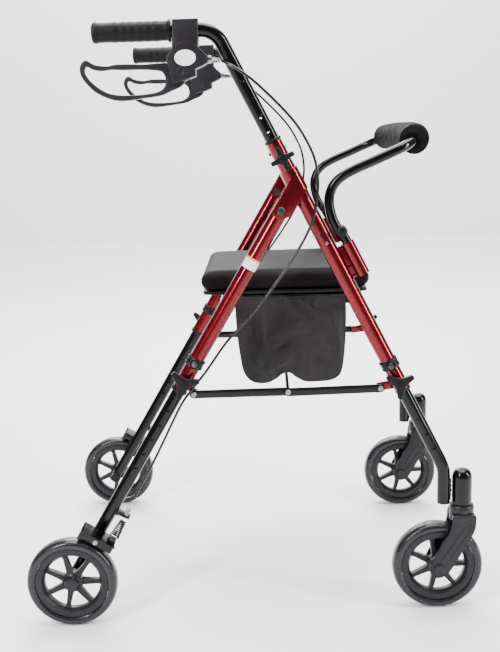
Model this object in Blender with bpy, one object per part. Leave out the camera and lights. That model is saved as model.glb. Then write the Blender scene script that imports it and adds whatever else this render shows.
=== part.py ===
"""Folding four-wheel rollator walker: +X is forward, +Y is the user's left, +Z is up, in metres."""

import math

import bmesh
import bpy
from mathutils import Vector

# Frame tubes, in the vertical plane of each side
LEG_PLANE = 0.224
TUBE_R = 0.0127
BORE_R = 0.0112
LEG_R = 0.0107
HANDLE_R = 0.0109
FRONT_TOP = Vector((0.0475, 0, 0.7875))
FRONT_DIR = Vector((0.5, 0, -1)).normalized()
FRONT_LENGTH = 0.447
HINGE = Vector((0.056, 0, 0.682))
REAR_DIR = Vector((-0.6, 0, -1)).normalized()
REAR_LENGTH = 0.333
CROSS_Z = 0.522
CROSS_R = 0.0095

# Wheels
WHEEL_R = 0.076
TYRE_HALF = 0.0145
RIM_R = 0.0615
SPOKES = 7
REAR_WHEEL = Vector((-0.3076, 0.260, WHEEL_R))
STEM = Vector((0.348, LEG_PLANE, 0.184))
CASTER_WHEEL = Vector((0.3076, LEG_PLANE, WHEEL_R))
BRAKE_BOLT = Vector((-0.2638, 0, 0.149))

# Folding side bars
BAR_REAR = Vector((-0.094, 0, 0.385))
BAR_MIDDLE = Vector((0.061, 0, 0.386))
BAR_FRONT = Vector((0.212, 0, 0.389))
BAR_HALF = 0.0068

# Handles, brakes, seat and backrest
GRIP_Y = 0.232
GRIP_Z = 0.9575
LEVER_PIVOT = Vector((-0.090, GRIP_Y, 0.897))
SOCKET_OFFSET = 0.0294
SOCKET_R = 0.0108
BOLT_R = 0.0040
BACKREST_R = 0.0080
HOLE_PITCH = 0.0286
HOLE_R = 0.0033
GAP = 0.0003

SIDES = {"right": -1, "left": 1}
MATERIALS = {}
PIVOTS = {}


def material(name, colour, roughness, metallic=0.0):
    made = bpy.data.materials.new(name)
    made.use_nodes = True
    shader = made.node_tree.nodes["Principled BSDF"]
    shader.inputs["Base Color"].default_value = (*colour, 1)
    shader.inputs["Roughness"].default_value = roughness
    shader.inputs["Metallic"].default_value = metallic
    MATERIALS[name] = made


def clear_scene():
    for obj in list(bpy.data.objects):
        bpy.data.objects.remove(obj, do_unlink=True)


def pivot(name, place, parent=None):
    """An empty on a joint's axis, which the moving pieces are parented to."""
    empty = bpy.data.objects.new(name + "_pivot", None)
    bpy.context.scene.collection.objects.link(empty)
    empty.location = Vector(place)
    if parent:
        empty.parent = PIVOTS[parent][0]
        empty.location = Vector(place) - PIVOTS[parent][1]
    PIVOTS[name] = (empty, Vector(place))


def finish(name, bm, slot, on=None, cutter=False):
    """Makes an object of a mesh drawn in world coordinates, and hangs it on its joint's empty."""
    if on:
        bmesh.ops.translate(bm, verts=bm.verts, vec=-PIVOTS[on][1])
    bmesh.ops.recalc_face_normals(bm, faces=bm.faces)
    mesh = bpy.data.meshes.new(name)
    bm.to_mesh(mesh)
    bm.free()
    mesh.shade_smooth()
    mesh.set_sharp_from_angle(angle=math.radians(35))
    obj = bpy.data.objects.new(name, mesh)
    bpy.context.scene.collection.objects.link(obj)
    if on:
        obj.parent = PIVOTS[on][0]
    if cutter:
        obj.hide_render = True
        obj.display_type = "WIRE"
    else:
        mesh.materials.append(MATERIALS[slot])
    return obj


def boolean(target, tool, operation):
    modifier = target.modifiers.new(operation.lower(), "BOOLEAN")
    modifier.operation = operation
    modifier.solver = "EXACT"
    modifier.object = tool
    tool.hide_render = True
    tool.display_type = "WIRE"


def join(target, bm, name, slot, on=None):
    boolean(target, finish(name, bm, slot, on), "UNION")


def cut(target, bm, name, on=None):
    boolean(target, finish(name, bm, None, on, cutter=True), "DIFFERENCE")


def at_side(point, side, y=None):
    """The point on one side of the walker, at distance y from its middle plane."""
    return Vector((point.x, side * (point.y if y is None else y), point.z))


def add_sweep(bm, path, radii, sides=12, bore=None):
    """Sweeps a ring along a path. With a bore, the sweep is a tube with open ends."""
    path = [Vector(p) for p in path]
    count = len(path)
    if not hasattr(radii, "__len__"):
        radii = [radii] * count
    tangents = [(path[min(i + 1, count - 1)] - path[max(i - 1, 0)]).normalized() for i in range(count)]
    normal = tangents[0].cross(Vector((0, 1, 0)))
    if normal.length < 0.2:
        normal = tangents[0].cross(Vector((0, 0, 1)))
    normal.normalize()
    shells = []
    for shell in range(2 if bore else 1):
        across = normal.copy()
        rings = []
        for point, tangent, radius in zip(path, tangents, radii):
            across = (across - tangent * across.dot(tangent)).normalized()
            other = tangent.cross(across)
            reach = bore if shell else radius
            ring = []
            for k in range(sides):
                angle = 2 * math.pi * (k + 0.5) / sides
                step = across * math.cos(angle) * reach + other * math.sin(angle) * reach
                ring.append(bm.verts.new(point + step))
            rings.append(ring)
        shells.append(rings)
        for i in range(count - 1):
            join_rings(bm, rings[i], rings[i + 1])
    for end in (0, -1):
        if bore:
            join_rings(bm, shells[0][end], shells[1][end])
        else:
            bm.faces.new(shells[0][end])


def join_rings(bm, first, second):
    for k in range(len(first)):
        after = (k + 1) % len(first)
        bm.faces.new((first[k], first[after], second[after], second[k]))


def add_turned(bm, profile, centre, axis, sides=24):
    """Turns a closed profile of (radius, height along the axis) round an axis."""
    axis = Vector(axis).normalized()
    across = axis.orthogonal().normalized()
    other = axis.cross(across)
    rings = []
    for radius, height in profile:
        base = Vector(centre) + axis * height
        if radius < 1e-6:
            rings.append([bm.verts.new(base)])
            continue
        ring = []
        for k in range(sides):
            angle = 2 * math.pi * k / sides
            ring.append(bm.verts.new(base + (across * math.cos(angle) + other * math.sin(angle)) * radius))
        rings.append(ring)
    pairs = list(zip(rings, rings[1:] + rings[:1]))
    for first, second in pairs:
        if len(first) == 1 and len(second) == 1:
            continue
        if len(first) == 1 or len(second) == 1:
            tip, ring = (first, second) if len(first) == 1 else (second, first)
            for k in range(sides):
                bm.faces.new((tip[0], ring[k], ring[(k + 1) % sides]))
            continue
        join_rings(bm, first, second)


def add_disc(bm, centre, axis, radius, start, end, sides=16):
    """A plain cylinder from start to end along its axis."""
    add_turned(bm, [(0, start), (radius, start), (radius, end), (0, end)], centre, axis, sides)


def add_plate(bm, outline, low, high):
    """Extrudes an outline of (x, z) points between two values of y."""
    low, high = min(low, high), max(low, high)
    front = [bm.verts.new((x, low, z)) for x, z in outline]
    back = [bm.verts.new((x, high, z)) for x, z in outline]
    bm.faces.new(front)
    bm.faces.new(back)
    join_rings(bm, front, back)


def add_box(bm, low, high):
    low, high = Vector(low), Vector(high)
    outline = [(low.x, low.z), (high.x, low.z), (high.x, high.z), (low.x, high.z)]
    add_plate(bm, outline, low.y, high.y)


def add_oblong(bm, start, end, half, low, high, arc=5):
    """A flat bar with round ends, from start to end in XZ."""
    heading = math.atan2(end.z - start.z, end.x - start.x)
    outline = []
    for centre, turn in ((end, -math.pi / 2), (start, math.pi / 2)):
        for k in range(arc + 1):
            angle = heading + turn + math.pi * k / arc
            outline.append((centre.x + half * math.cos(angle), centre.z + half * math.sin(angle)))
    add_plate(bm, outline, low, high)


def smooth_path(points, steps):
    """Points on a smooth curve through the given points."""
    points = [Vector(p) for p in points]
    ends = [points[0] * 2 - points[1]] + points + [points[-1] * 2 - points[-2]]
    curve = []
    for i in range(1, len(ends) - 2):
        a, b, c, d = ends[i - 1 : i + 3]
        for k in range(steps):
            t = k / steps
            curve.append(0.5 * (2 * b + (c - a) * t + (2 * a - 5 * b + 4 * c - d) * t**2 + (3 * b - a - 3 * c + d) * t**3))
    curve.append(points[-1])
    return curve


def on_front(z, along=0.0):
    """A point on the front tube's axis, at a height, moved down along it."""
    return Vector((FRONT_TOP.x + 0.5 * (FRONT_TOP.z - z), 0, z)) + FRONT_DIR * along


def on_rear(z, along=0.0):
    return Vector((HINGE.x - 0.6 * (HINGE.z - z), 0, z)) + REAR_DIR * along


def holes(target, start, direction, side, count, name, on):
    """Drills a row of adjustment holes across a telescopic tube."""
    bm = bmesh.new()
    for k in range(count):
        centre = start + direction * HOLE_PITCH * k
        add_disc(bm, at_side(centre, side, LEG_PLANE), (0, 1, 0), HOLE_R, -0.02, 0.02, 6)
    cut(target, bm, name, on)


FRONT_SIDE = Vector((-FRONT_DIR.z, 0, FRONT_DIR.x))
REAR_SIDE = Vector((-REAR_DIR.z, 0, REAR_DIR.x))


def make_pivots():
    pivot("rear_frame", HINGE)
    pivot("front_bars", BAR_FRONT)
    pivot("rear_bars", BAR_REAR, "rear_frame")
    pivot("seat", on_front(CROSS_Z))
    pivot("backrest", on_front(0.616) + FRONT_SIDE * SOCKET_OFFSET)
    for word, side in SIDES.items():
        pivot("handle_" + word, at_side(FRONT_TOP, side, LEG_PLANE))
        pivot("brake_lever_" + word, at_side(LEVER_PIVOT, side), "handle_" + word)
        pivot("front_leg_" + word, at_side(on_front(0.389), side, LEG_PLANE))
        pivot("caster_" + word, at_side(STEM, side), "front_leg_" + word)
        pivot("caster_wheel_" + word, at_side(CASTER_WHEEL, side), "caster_" + word)
        pivot("rear_leg_" + word, at_side(on_rear(0.396), side, LEG_PLANE), "rear_frame")
        pivot("rear_wheel_" + word, at_side(REAR_WHEEL, side), "rear_leg_" + word)
        pivot("brake_shoe_" + word, at_side(BRAKE_BOLT, side, 0.25), "rear_leg_" + word)
        pivot("handle_knob_" + word, at_side(on_front(0.7625), side, 0.25))
        pivot("front_knob_" + word, at_side(on_front(0.400), side, 0.25))
        pivot("rear_knob_" + word, at_side(on_rear(0.4085), side, 0.25), "rear_frame")
        pivot("front_button_" + word, at_side(on_front(0.4285), side, 0.24))
        pivot("rear_button_" + word, at_side(on_rear(0.440), side, 0.24), "rear_frame")


def make_front_frame(word, side):
    """The red front tube, with the hinge bracket, the backrest socket and the side bar's lug welded on."""
    name = "front_frame_" + word
    bm = bmesh.new()
    top = at_side(FRONT_TOP, side, LEG_PLANE)
    add_sweep(bm, [top, top + FRONT_DIR * FRONT_LENGTH], TUBE_R, 16)
    frame = finish(name, bm, "red_paint")
    bm = bmesh.new()
    add_sweep(bm, [at_side(on_front(0.7435), side, LEG_PLANE), at_side(on_front(0.7110), side, LEG_PLANE)],
        TUBE_R + 0.0023, 16)
    join(frame, bm, "bracket_fold_" + word, "red_paint")
    outline = [(0.0700, 0.7285), (0.0790, 0.7430), (0.0950, 0.7120), (0.0860, 0.6950), (0.0700, 0.6720)]
    for k in range(5):
        angle = math.radians(-50 - 32 * k)
        outline.append((HINGE.x + 0.0135 * math.cos(angle), HINGE.z + 0.0135 * math.sin(angle)))
    for face in (1, -1):
        bm = bmesh.new()
        inner = LEG_PLANE + face * (TUBE_R + GAP)
        add_plate(bm, outline, side * inner, side * (inner + face * 0.002))
        join(frame, bm, f"bracket_cheek_{word}_{face}", "red_paint")
    bm = bmesh.new()
    lug = [on_front(0.405) - FRONT_SIDE * 0.006, BAR_FRONT + Vector((-0.006, 0, 0.007)),
           BAR_FRONT + Vector((-0.006, 0, -0.007)), on_front(0.391) - FRONT_SIDE * 0.006]
    add_plate(bm, [(p.x, p.z) for p in lug], side * 0.2188, side * 0.2226)
    join(frame, bm, "front_lug_" + word, "red_paint")
    bm = bmesh.new()
    mouth = at_side(on_front(0.616) + FRONT_SIDE * SOCKET_OFFSET, side, LEG_PLANE)
    add_sweep(bm, [mouth, mouth + FRONT_DIR * 0.058], SOCKET_R, 14)
    join(frame, bm, "socket_" + word, "red_paint")
    bm = bmesh.new()
    web = [on_front(0.616, along) + FRONT_SIDE * reach for along,
        reach in ((0, 0.010), (0, 0.022), (0.056, 0.022), (0.056, 0.010))]
    add_plate(bm, [(p.x, p.z) for p in web], side * (LEG_PLANE - 0.004), side * (LEG_PLANE + 0.004))
    join(frame, bm, "socket_web_" + word, "red_paint")
    bm = bmesh.new()
    add_sweep(bm, [top - FRONT_DIR * 0.01, top + FRONT_DIR * (FRONT_LENGTH + 0.01)], BORE_R, 16)
    cut(frame, bm, "front_bore_" + word)
    bm = bmesh.new()
    add_sweep(bm, [mouth - FRONT_DIR * 0.01, mouth + FRONT_DIR * 0.07], BACKREST_R + 0.0006, 14)
    cut(frame, bm, "socket_bore_" + word)
    bm = bmesh.new()
    add_disc(bm, at_side(HINGE, side, LEG_PLANE), (0, 1, 0), BOLT_R + GAP, -0.03, 0.03, 12)
    cut(frame, bm, "bracket_hole_" + word)


def make_rear_frame(word, side):
    """The red rear tube, with the side bar's lug welded on."""
    on = "rear_frame"
    top = at_side(HINGE, side, LEG_PLANE) - REAR_DIR * 0.014
    end = at_side(on_rear(0.396), side, LEG_PLANE)
    bm = bmesh.new()
    add_sweep(bm, [top, end], TUBE_R, 16)
    tube = finish("rear_tube_" + word, bm, "red_paint", on)
    bm = bmesh.new()
    lug = [on_rear(0.404) + REAR_SIDE * 0.006, BAR_REAR + Vector((0.007, 0, 0.007)),
           BAR_REAR + Vector((0.007, 0, -0.007)), on_rear(0.398) + REAR_SIDE * 0.006]
    add_plate(bm, [(p.x, p.z) for p in lug], side * 0.2188, side * 0.2226)
    join(tube, bm, "rear_lug_" + word, "red_paint", on)
    bm = bmesh.new()
    add_sweep(bm, [top + REAR_DIR * 0.030, end + REAR_DIR * 0.01], BORE_R, 16)
    cut(tube, bm, "rear_bore_" + word, on)
    bm = bmesh.new()
    add_disc(bm, at_side(HINGE, side, LEG_PLANE), (0, 1, 0), BOLT_R + GAP, -0.03, 0.03, 12)
    cut(tube, bm, "rear_hole_" + word, on)
    bm = bmesh.new()
    outer = TUBE_R + 0.0026
    bolt = [(0, -outer - 0.004), (0.0062, -outer - 0.004), (0.0062, -outer), (BOLT_R, -outer),
            (BOLT_R, outer), (0.0062, outer), (0.0062, outer + 0.004), (0, outer + 0.004)]
    add_turned(bm, bolt, at_side(HINGE, side, LEG_PLANE), (0, 1, 0), 12)
    finish("hinge_bolt_" + word, bm, "steel")


def make_cross_tubes():
    half = LEG_PLANE - TUBE_R - 0.0004
    for name, centre, on in (("front_cross_tube", on_front(CROSS_Z), None),
            ("rear_cross_tube", on_rear(CROSS_Z), "rear_frame")):
        bm = bmesh.new()
        add_sweep(bm, [at_side(centre, -1, half), at_side(centre, 1, half)], CROSS_R, 16)
        finish(name, bm, "black_paint", on)


def collar(bm, centre, direction, outer, inner, length, side, sides=16):
    place = at_side(centre, side, LEG_PLANE)
    add_sweep(bm, [place, place + direction * length], outer, sides, inner)


def make_collars(word, side):
    """The plastic collars: a plain one where the handle enters, and one with a button's well on each lower joint."""
    bm = bmesh.new()
    collar(bm, on_front(0.7925), FRONT_DIR, 0.0140, HANDLE_R + 0.0004, 0.0048, side)
    finish("handle_collar_" + word, bm, "grey_plastic")
    rows = (("front_collar_", on_front, 0.4360, 0.4285, FRONT_DIR, None),
        ("rear_collar_", on_rear, 0.4465, 0.440, REAR_DIR, "rear_frame"))
    for name, line, top, middle, direction, on in rows:
        bm = bmesh.new()
        collar(bm, line(top), direction, 0.0158, TUBE_R + GAP, 0.0155, side)
        band = finish(name + word, bm, "grey_plastic", on)
        bm = bmesh.new()
        add_disc(bm, at_side(line(middle), side, LEG_PLANE), (0, side, 0), 0.0062, 0.010, 0.020, 14)
        cut(band, bm, name + "well_" + word, on)


def make_buttons(word, side):
    for name, centre in (("front_button_", on_front(0.4285)), ("rear_button_", on_rear(0.440))):
        bm = bmesh.new()
        profile = [(0, 0), (0.0058, 0), (0.0058, 0.0035), (0.0042, 0.0048), (0, 0.0048)]
        add_turned(bm, profile, at_side(centre, side, LEG_PLANE + 0.0162), (0, side, 0), 14)
        finish(name + word, bm, "steel", name + word)


def star(arms, reach, waist, heading, arc):
    """Outline of a knob with arms that have round tips and hollow sides between them."""
    outline = []
    for k in range(arms):
        middle = heading + 2 * math.pi * k / arms
        for t in (-arc, 0.0, arc):
            outline.append((reach, middle + t))
        outline.append((waist, middle + math.pi / arms))
    return [(r * math.cos(a), r * math.sin(a)) for r, a in outline]


def make_knobs(word, side):
    lean = math.atan2(FRONT_DIR.z, FRONT_DIR.x)
    rows = (
        ("handle_knob_", on_front(0.7625), 4, 0.0200, 0.0085, lean, 0.17, 0.0115),
        ("front_knob_", on_front(0.400), 3, 0.0250, 0.0098, math.radians(30), 0.10, 0.0115),
        ("rear_knob_", on_rear(0.4085), 3, 0.0265, 0.0105, math.radians(10), 0.10, 0.0115),
    )
    for name, centre, arms, reach, waist, heading, arc, start in rows:
        bm = bmesh.new()
        outline = [(centre.x + x, centre.z + z) for x, z in star(arms, reach, waist, heading, arc)]
        face = LEG_PLANE + TUBE_R
        add_plate(bm, outline, side * (face + 0.0055), side * (face + 0.0155))
        body = finish(name + word, bm, "grey_plastic", name + word)
        bm = bmesh.new()
        add_disc(bm, at_side(centre, side, face), (0, side, 0), 0.0075, GAP, start - 0.002, 12)
        join(body, bm, name + "boss_" + word, "grey_plastic", name + word)


def handle_path(side):
    straight = on_front(0.7875, 0.12)
    points = [straight, on_front(0.7875), on_front(0.89)]
    path = [at_side(p, side, LEG_PLANE) for p in points]
    bend_r = 0.0365
    start = on_front(0.905)
    centre = start - FRONT_SIDE * bend_r
    for k in range(6):
        angle = math.atan2(FRONT_SIDE.z, FRONT_SIDE.x) + (math.pi / 2 - math.atan(0.5)) * k / 5
        y = LEG_PLANE + (GRIP_Y - LEG_PLANE) * k / 5
        path.append(Vector((centre.x + bend_r * math.cos(angle), side * y,
            centre.z + bend_r * math.sin(angle))))
    lift = GRIP_Z - path[-1].z
    path = path[:3] + [p + Vector((-0.5 * lift, 0, lift)) for p in path[3:]]
    path.append(Vector((-0.219, side * GRIP_Y, GRIP_Z)))
    return path


def make_handle(word, side):
    on = "handle_" + word
    bm = bmesh.new()
    add_sweep(bm, handle_path(side), HANDLE_R, 12, HANDLE_R - 0.0015)
    tube = finish("handle_tube_" + word, bm, "black_paint", on)
    holes(tube, on_front(0.878), FRONT_DIR, side, 5, "handle_holes_" + word, on)
    bm = bmesh.new()
    centre = Vector((0, side * GRIP_Y, GRIP_Z))
    inner = HANDLE_R + GAP
    profile = [(inner, 0.1035), (0.0165, 0.1035), (0.0172, 0.1065), (0.0146, 0.112)]
    for k in range(1, 6):
        profile.append((0.0146 + (0.0008 if k % 2 else 0), 0.112 + 0.0195 * k))
    profile += [(0.0140, 0.2215), (0.0105, 0.2235), (0, 0.2235), (0, 0.2195), (inner, 0.2195)]
    add_turned(bm, profile, centre, (-1, 0, 0), 14)
    finish("grip_" + word, bm, "rubber", on)


def make_housing(word, side):
    on = "handle_" + word
    outline = [(-0.1015, 0.9735), (-0.0615, 0.9735), (-0.0630, 0.932), (-0.0490, 0.919), (-0.0490, 0.909),
               (-0.0680, 0.900), (-0.0675, 0.889), (-0.1035, 0.8785), (-0.1130, 0.918), (-0.1025, 0.930)]
    bm = bmesh.new()
    add_plate(bm, outline, side * (GRIP_Y - 0.0155), side * (GRIP_Y + 0.0155))
    body = finish("brake_housing_" + word, bm, "grey_plastic", on)
    bm = bmesh.new()
    add_disc(bm, (0, side * GRIP_Y, GRIP_Z), (-1, 0, 0), HANDLE_R + GAP, 0.04, 0.13, 16)
    cut(body, bm, "housing_bore_" + word, on)
    bm = bmesh.new()
    add_box(bm, (-0.130, side * GRIP_Y - 0.0068, 0.860), (-0.0775, side * GRIP_Y + 0.0068, 0.9245))
    cut(body, bm, "lever_slot_" + word, on)
    bm = bmesh.new()
    barrel = [(0, -0.002), (0.0058, -0.002), (0.0058, 0.0045), (0.0042, 0.0045), (0.0042, 0.0150),
        (0.0030, 0.0190), (0, 0.0190)]
    add_turned(bm, barrel, (-0.0490, side * GRIP_Y, 0.914), (1, 0, -0.12), 12)
    join(body, bm, "cable_adjuster_" + word, "steel", on)


def make_lever(word, side):
    outer = [(-0.128, 0.9105), (-0.148, 0.9095), (-0.170, 0.9105), (-0.190, 0.9105), (-0.203, 0.9085),
        (-0.214, 0.9095),
             (-0.224, 0.9120), (-0.2345, 0.9185), (-0.2430, 0.9130), (-0.2455, 0.9020), (-0.2400,
                 0.8880), (-0.2230, 0.8700),
             (-0.2010, 0.8590), (-0.1800, 0.8560), (-0.1500, 0.8590), (-0.1230, 0.8625), (-0.1070,
                 0.8690), (-0.0900, 0.8760),
             (-0.0810, 0.8900), (-0.0830, 0.9020), (-0.0900, 0.9060), (-0.1080, 0.9110)]
    inner = [(-0.121, 0.8980), (-0.139, 0.9010), (-0.160, 0.9020), (-0.180, 0.9020), (-0.197, 0.9030),
        (-0.211, 0.9015),
             (-0.224, 0.9035), (-0.2345, 0.9085), (-0.2375, 0.9000), (-0.2280, 0.8860), (-0.2090,
                 0.8715), (-0.1920, 0.8660),
             (-0.1700, 0.8645), (-0.1410, 0.8660), (-0.1240, 0.8700), (-0.1160, 0.8780), (-0.1150, 0.8880)]
    on = "brake_lever_" + word
    bm = bmesh.new()
    add_plate(bm, outer, side * GRIP_Y - 0.0062, side * GRIP_Y + 0.0062)
    lever = finish(on, bm, "grey_plastic", on)
    bm = bmesh.new()
    add_plate(bm, inner, side * GRIP_Y - 0.02, side * GRIP_Y + 0.02)
    cut(lever, bm, "lever_opening_" + word, on)


def make_front_leg(word, side):
    on = "front_leg_" + word
    bend = Vector((0.3155, 0, 0.2515))
    path = [on_front(0.389, -0.105), on_front(0.389), bend - FRONT_DIR * 0.008,
            bend + Vector((0.0008, 0, -0.004)), Vector((0.3175, 0, 0.236)), Vector((0.3175, 0, 0.1855))]
    bm = bmesh.new()
    add_sweep(bm, [at_side(p, side, LEG_PLANE) for p in path], LEG_R, 14)
    leg = finish("front_leg_" + word, bm, "black_paint", on)
    bm = bmesh.new()
    sleeve = [(0, 0.001), (0.0165, 0.001), (0.0165, 0.048), (0.0150, 0.056), (0.0090, 0.0605), (0, 0.0615)]
    add_turned(bm, sleeve, at_side(STEM, side), (0, 0, 1), 18)
    join(leg, bm, "stem_sleeve_" + word, "black_paint", on)
    bm = bmesh.new()
    add_box(bm, (0.3250, side * LEG_PLANE - 0.004, 0.192), (0.3360, side * LEG_PLANE + 0.004, 0.236))
    join(leg, bm, "sleeve_weld_" + word, "black_paint", on)
    holes(leg, on_front(0.337), FRONT_DIR, side, 3, "front_holes_" + word, on)


def make_caster(word, side):
    on = "caster_" + word
    y = side * LEG_PLANE
    bm = bmesh.new()
    add_disc(bm, at_side(STEM, side), (0, 0, 1), 0.0205, -0.0300, 0, 18)
    fork = finish("caster_fork_" + word, bm, "grey_plastic", on)
    arm = [(0.3290, 0.1700), (0.3690, 0.1700), (0.3680, 0.1450), (0.3240, 0.0680), (0.3150, 0.0605),
        (0.3030, 0.0590),
           (0.2930, 0.0660), (0.2905, 0.0770), (0.3240, 0.1420)]
    bm = bmesh.new()
    for face in (-1, 1):
        add_plate(bm, arm, y + face * 0.0185, y + face * 0.0235)
    join(fork, bm, "fork_arms_" + word, "grey_plastic", on)
    bm = bmesh.new()
    crown = [(0.3295, 0.1690), (0.3680, 0.1690), (0.3680, 0.1560), (0.3295, 0.1560)]
    add_plate(bm, crown, y - 0.0190, y + 0.0190)
    join(fork, bm, "fork_crown_" + word, "grey_plastic", on)
    bm = bmesh.new()
    for face in (-1, 1):
        cap = [(0, 0), (0.0088, 0), (0.0080, 0.0030), (0, 0.0048)]
        add_turned(bm, cap, (CASTER_WHEEL.x, y + face * 0.0234, CASTER_WHEEL.z), (0, face, 0), 14)
    join(fork, bm, "axle_caps_" + word, "grey_plastic", on)


def window(spoke, centre):
    """Outline of the opening between two spokes, wide at the rim and narrow at the hub."""
    pitch = 2 * math.pi / SPOKES
    middle = pitch * (spoke + 0.5)
    inner, outer = 0.0195, 0.0478
    points = []
    for radius, spread in ((inner, 0.12), (0.0440, 0.335)):
        points.append((radius, middle - spread))
    points += [(outer, middle - 0.22), (outer, middle + 0.22)]
    for radius, spread in ((0.0440, 0.335), (inner, 0.12)):
        points.append((radius, middle + spread))
    return [(centre.x + r * math.cos(a), centre.z + r * math.sin(a)) for r, a in points]


def make_wheel(kind, word, side, hub):
    on = kind + "_wheel_" + word
    place = at_side(hub, side)
    bm = bmesh.new()
    tyre = [(RIM_R + GAP, -0.0125), (0.0700, -TYRE_HALF), (0.0742, -0.0105), (WHEEL_R, -0.0045),
        (WHEEL_R, 0.0045),
            (0.0742, 0.0105), (0.0700, TYRE_HALF), (RIM_R + GAP, 0.0125)]
    add_turned(bm, tyre, place, (0, 1, 0), 24)
    finish(kind + "_tyre_" + word, bm, "tyre_rubber", on)
    bm = bmesh.new()
    half_hub = 0.0165
    inboard = half_hub if kind == "caster" else 0.0240
    near, far = (-inboard, half_hub) if side > 0 else (-half_hub, inboard)
    rim = [(0, near), (0.0125, near), (0.0150, -0.0060), (0.0480, -0.0050), (0.0520, -0.0115),
        (RIM_R, -0.0115),
           (RIM_R, 0.0115), (0.0520, 0.0115), (0.0480, 0.0050), (0.0150, 0.0060), (0.0125, far), (0, far)]
    add_turned(bm, rim, place, (0, 1, 0), 24)
    wheel = finish(kind + "_rim_" + word, bm, "grey_plastic", on)
    bm = bmesh.new()
    for spoke in range(SPOKES):
        add_plate(bm, window(spoke, place), place.y - 0.02, place.y + 0.02)
    cut(wheel, bm, kind + "_windows_" + word, on)


def make_rear_leg(word, side):
    on = "rear_leg_" + word
    bm = bmesh.new()
    top = at_side(on_rear(0.396, -0.105), side, LEG_PLANE)
    end = at_side(on_rear(0.066), side, LEG_PLANE)
    add_sweep(bm, [top, end], LEG_R, 14)
    leg = finish("rear_leg_" + word, bm, "black_paint", on)
    bm = bmesh.new()
    arm = [on_rear(0.149, -0.050) + REAR_SIDE * 0.008, on_rear(0.149, -0.050) + REAR_SIDE * 0.033,
           on_rear(0.149, -0.045) + REAR_SIDE * 0.033, on_rear(0.149, -0.043) + REAR_SIDE * 0.008]
    add_plate(bm, [(p.x, p.z) for p in arm], side * (LEG_PLANE - 0.006), side * (LEG_PLANE + 0.008))
    join(leg, bm, "cable_arm_" + word, "black_paint", on)
    bm = bmesh.new()
    add_disc(bm, at_side(REAR_WHEEL, side, LEG_PLANE), (0, side, 0), 0.0100, -0.0150, -0.0060, 14)
    join(leg, bm, "axle_nut_" + word, "steel", on)
    holes(leg, on_rear(0.362), REAR_DIR, side, 5, "rear_holes_" + word, on)


def make_brake(word, side):
    on = "brake_shoe_" + word
    tangent = REAR_SIDE
    up = -REAR_DIR

    def local(along, rise):
        point = BRAKE_BOLT + tangent * along + up * rise
        return (point.x, point.z)

    flange = [local(-0.030, 0.008), local(0.031, 0.008), local(0.031, -0.006), local(-0.020, -0.0040),
        local(-0.026, -0.010),
              local(-0.030, -0.010)]
    web = [local(-0.030, 0.008), local(0.031, 0.008), local(0.031, 0.0055), local(-0.030, 0.0055)]
    pad = [local(-0.030, 0.008), local(-0.0265, 0.008), local(-0.0265, -0.010), local(-0.030, -0.010)]
    bm = bmesh.new()
    add_plate(bm, flange, side * 0.2355, side * 0.2380)
    shoe = finish(on, bm, "black_paint", on)
    for name, outline, low, high in (("flange_", flange, 0.2700, 0.2725), ("web_", web, 0.2370, 0.2715),
            ("pad_", pad, 0.2370, 0.2715)):
        bm = bmesh.new()
        add_plate(bm, outline, side * low, side * high)
        join(shoe, bm, "shoe_" + name + word, "black_paint", on)
    bm = bmesh.new()
    base = BRAKE_BOLT + tangent * 0.0250 + up * 0.0088
    coils, points = 6, 6 * 6
    path, radii = [], []
    for k in range(points + 1):
        t = k / points
        angle = 2 * math.pi * coils * t
        spread = 0.0076 - 0.0030 * t
        point = at_side(base, side, 0.2420) + up * (0.0012 + 0.0300 * t)
        path.append(point + tangent * spread * math.cos(angle) + Vector((0, spread * math.sin(angle), 0)))
    add_sweep(bm, path, 0.0009, 4)
    finish("brake_spring_" + word, bm, "steel", "rear_leg_" + word)


def cable_path(side):
    points = [(-0.0285, 0.232, 0.9115), (-0.013, 0.243, 0.903), (0.014, 0.249, 0.884),
        (0.049, 0.250, 0.851), (0.078, 0.250, 0.819),
              (0.096, 0.250, 0.791), (0.109, 0.250, 0.761), (0.1135, 0.250, 0.731), (0.112, 0.250,
                  0.704), (0.106, 0.250, 0.673),
              (0.096, 0.250, 0.648), (0.078, 0.250, 0.617), (0.048, 0.250, 0.574), (0.006, 0.248,
                  0.521), (-0.035, 0.243, 0.477),
              (-0.068, 0.238, 0.431), (-0.090, 0.2355, 0.403), (-0.111, 0.2345, 0.376), (-0.128, 0.233,
                  0.345), (-0.149, 0.230, 0.303),
              (-0.171, 0.229, 0.261), (-0.2010, 0.229, 0.2080)]
    return [Vector((x, side * y, z)) for x, y, z in points]


def make_cable(word, side):
    curve = bpy.data.curves.new("brake_cable_" + word, "CURVE")
    curve.dimensions = "3D"
    curve.bevel_depth = 0.0022
    curve.bevel_resolution = 2
    curve.use_fill_caps = True
    spline = curve.splines.new("POLY")
    path = smooth_path(cable_path(side), 2)
    spline.points.add(len(path) - 1)
    for spot, point in zip(spline.points, path):
        spot.co = (*point, 1)
    curve.materials.append(MATERIALS["rubber"])
    cable = bpy.data.objects.new("brake_cable_" + word, curve)
    bpy.context.scene.collection.objects.link(cable)


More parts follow.
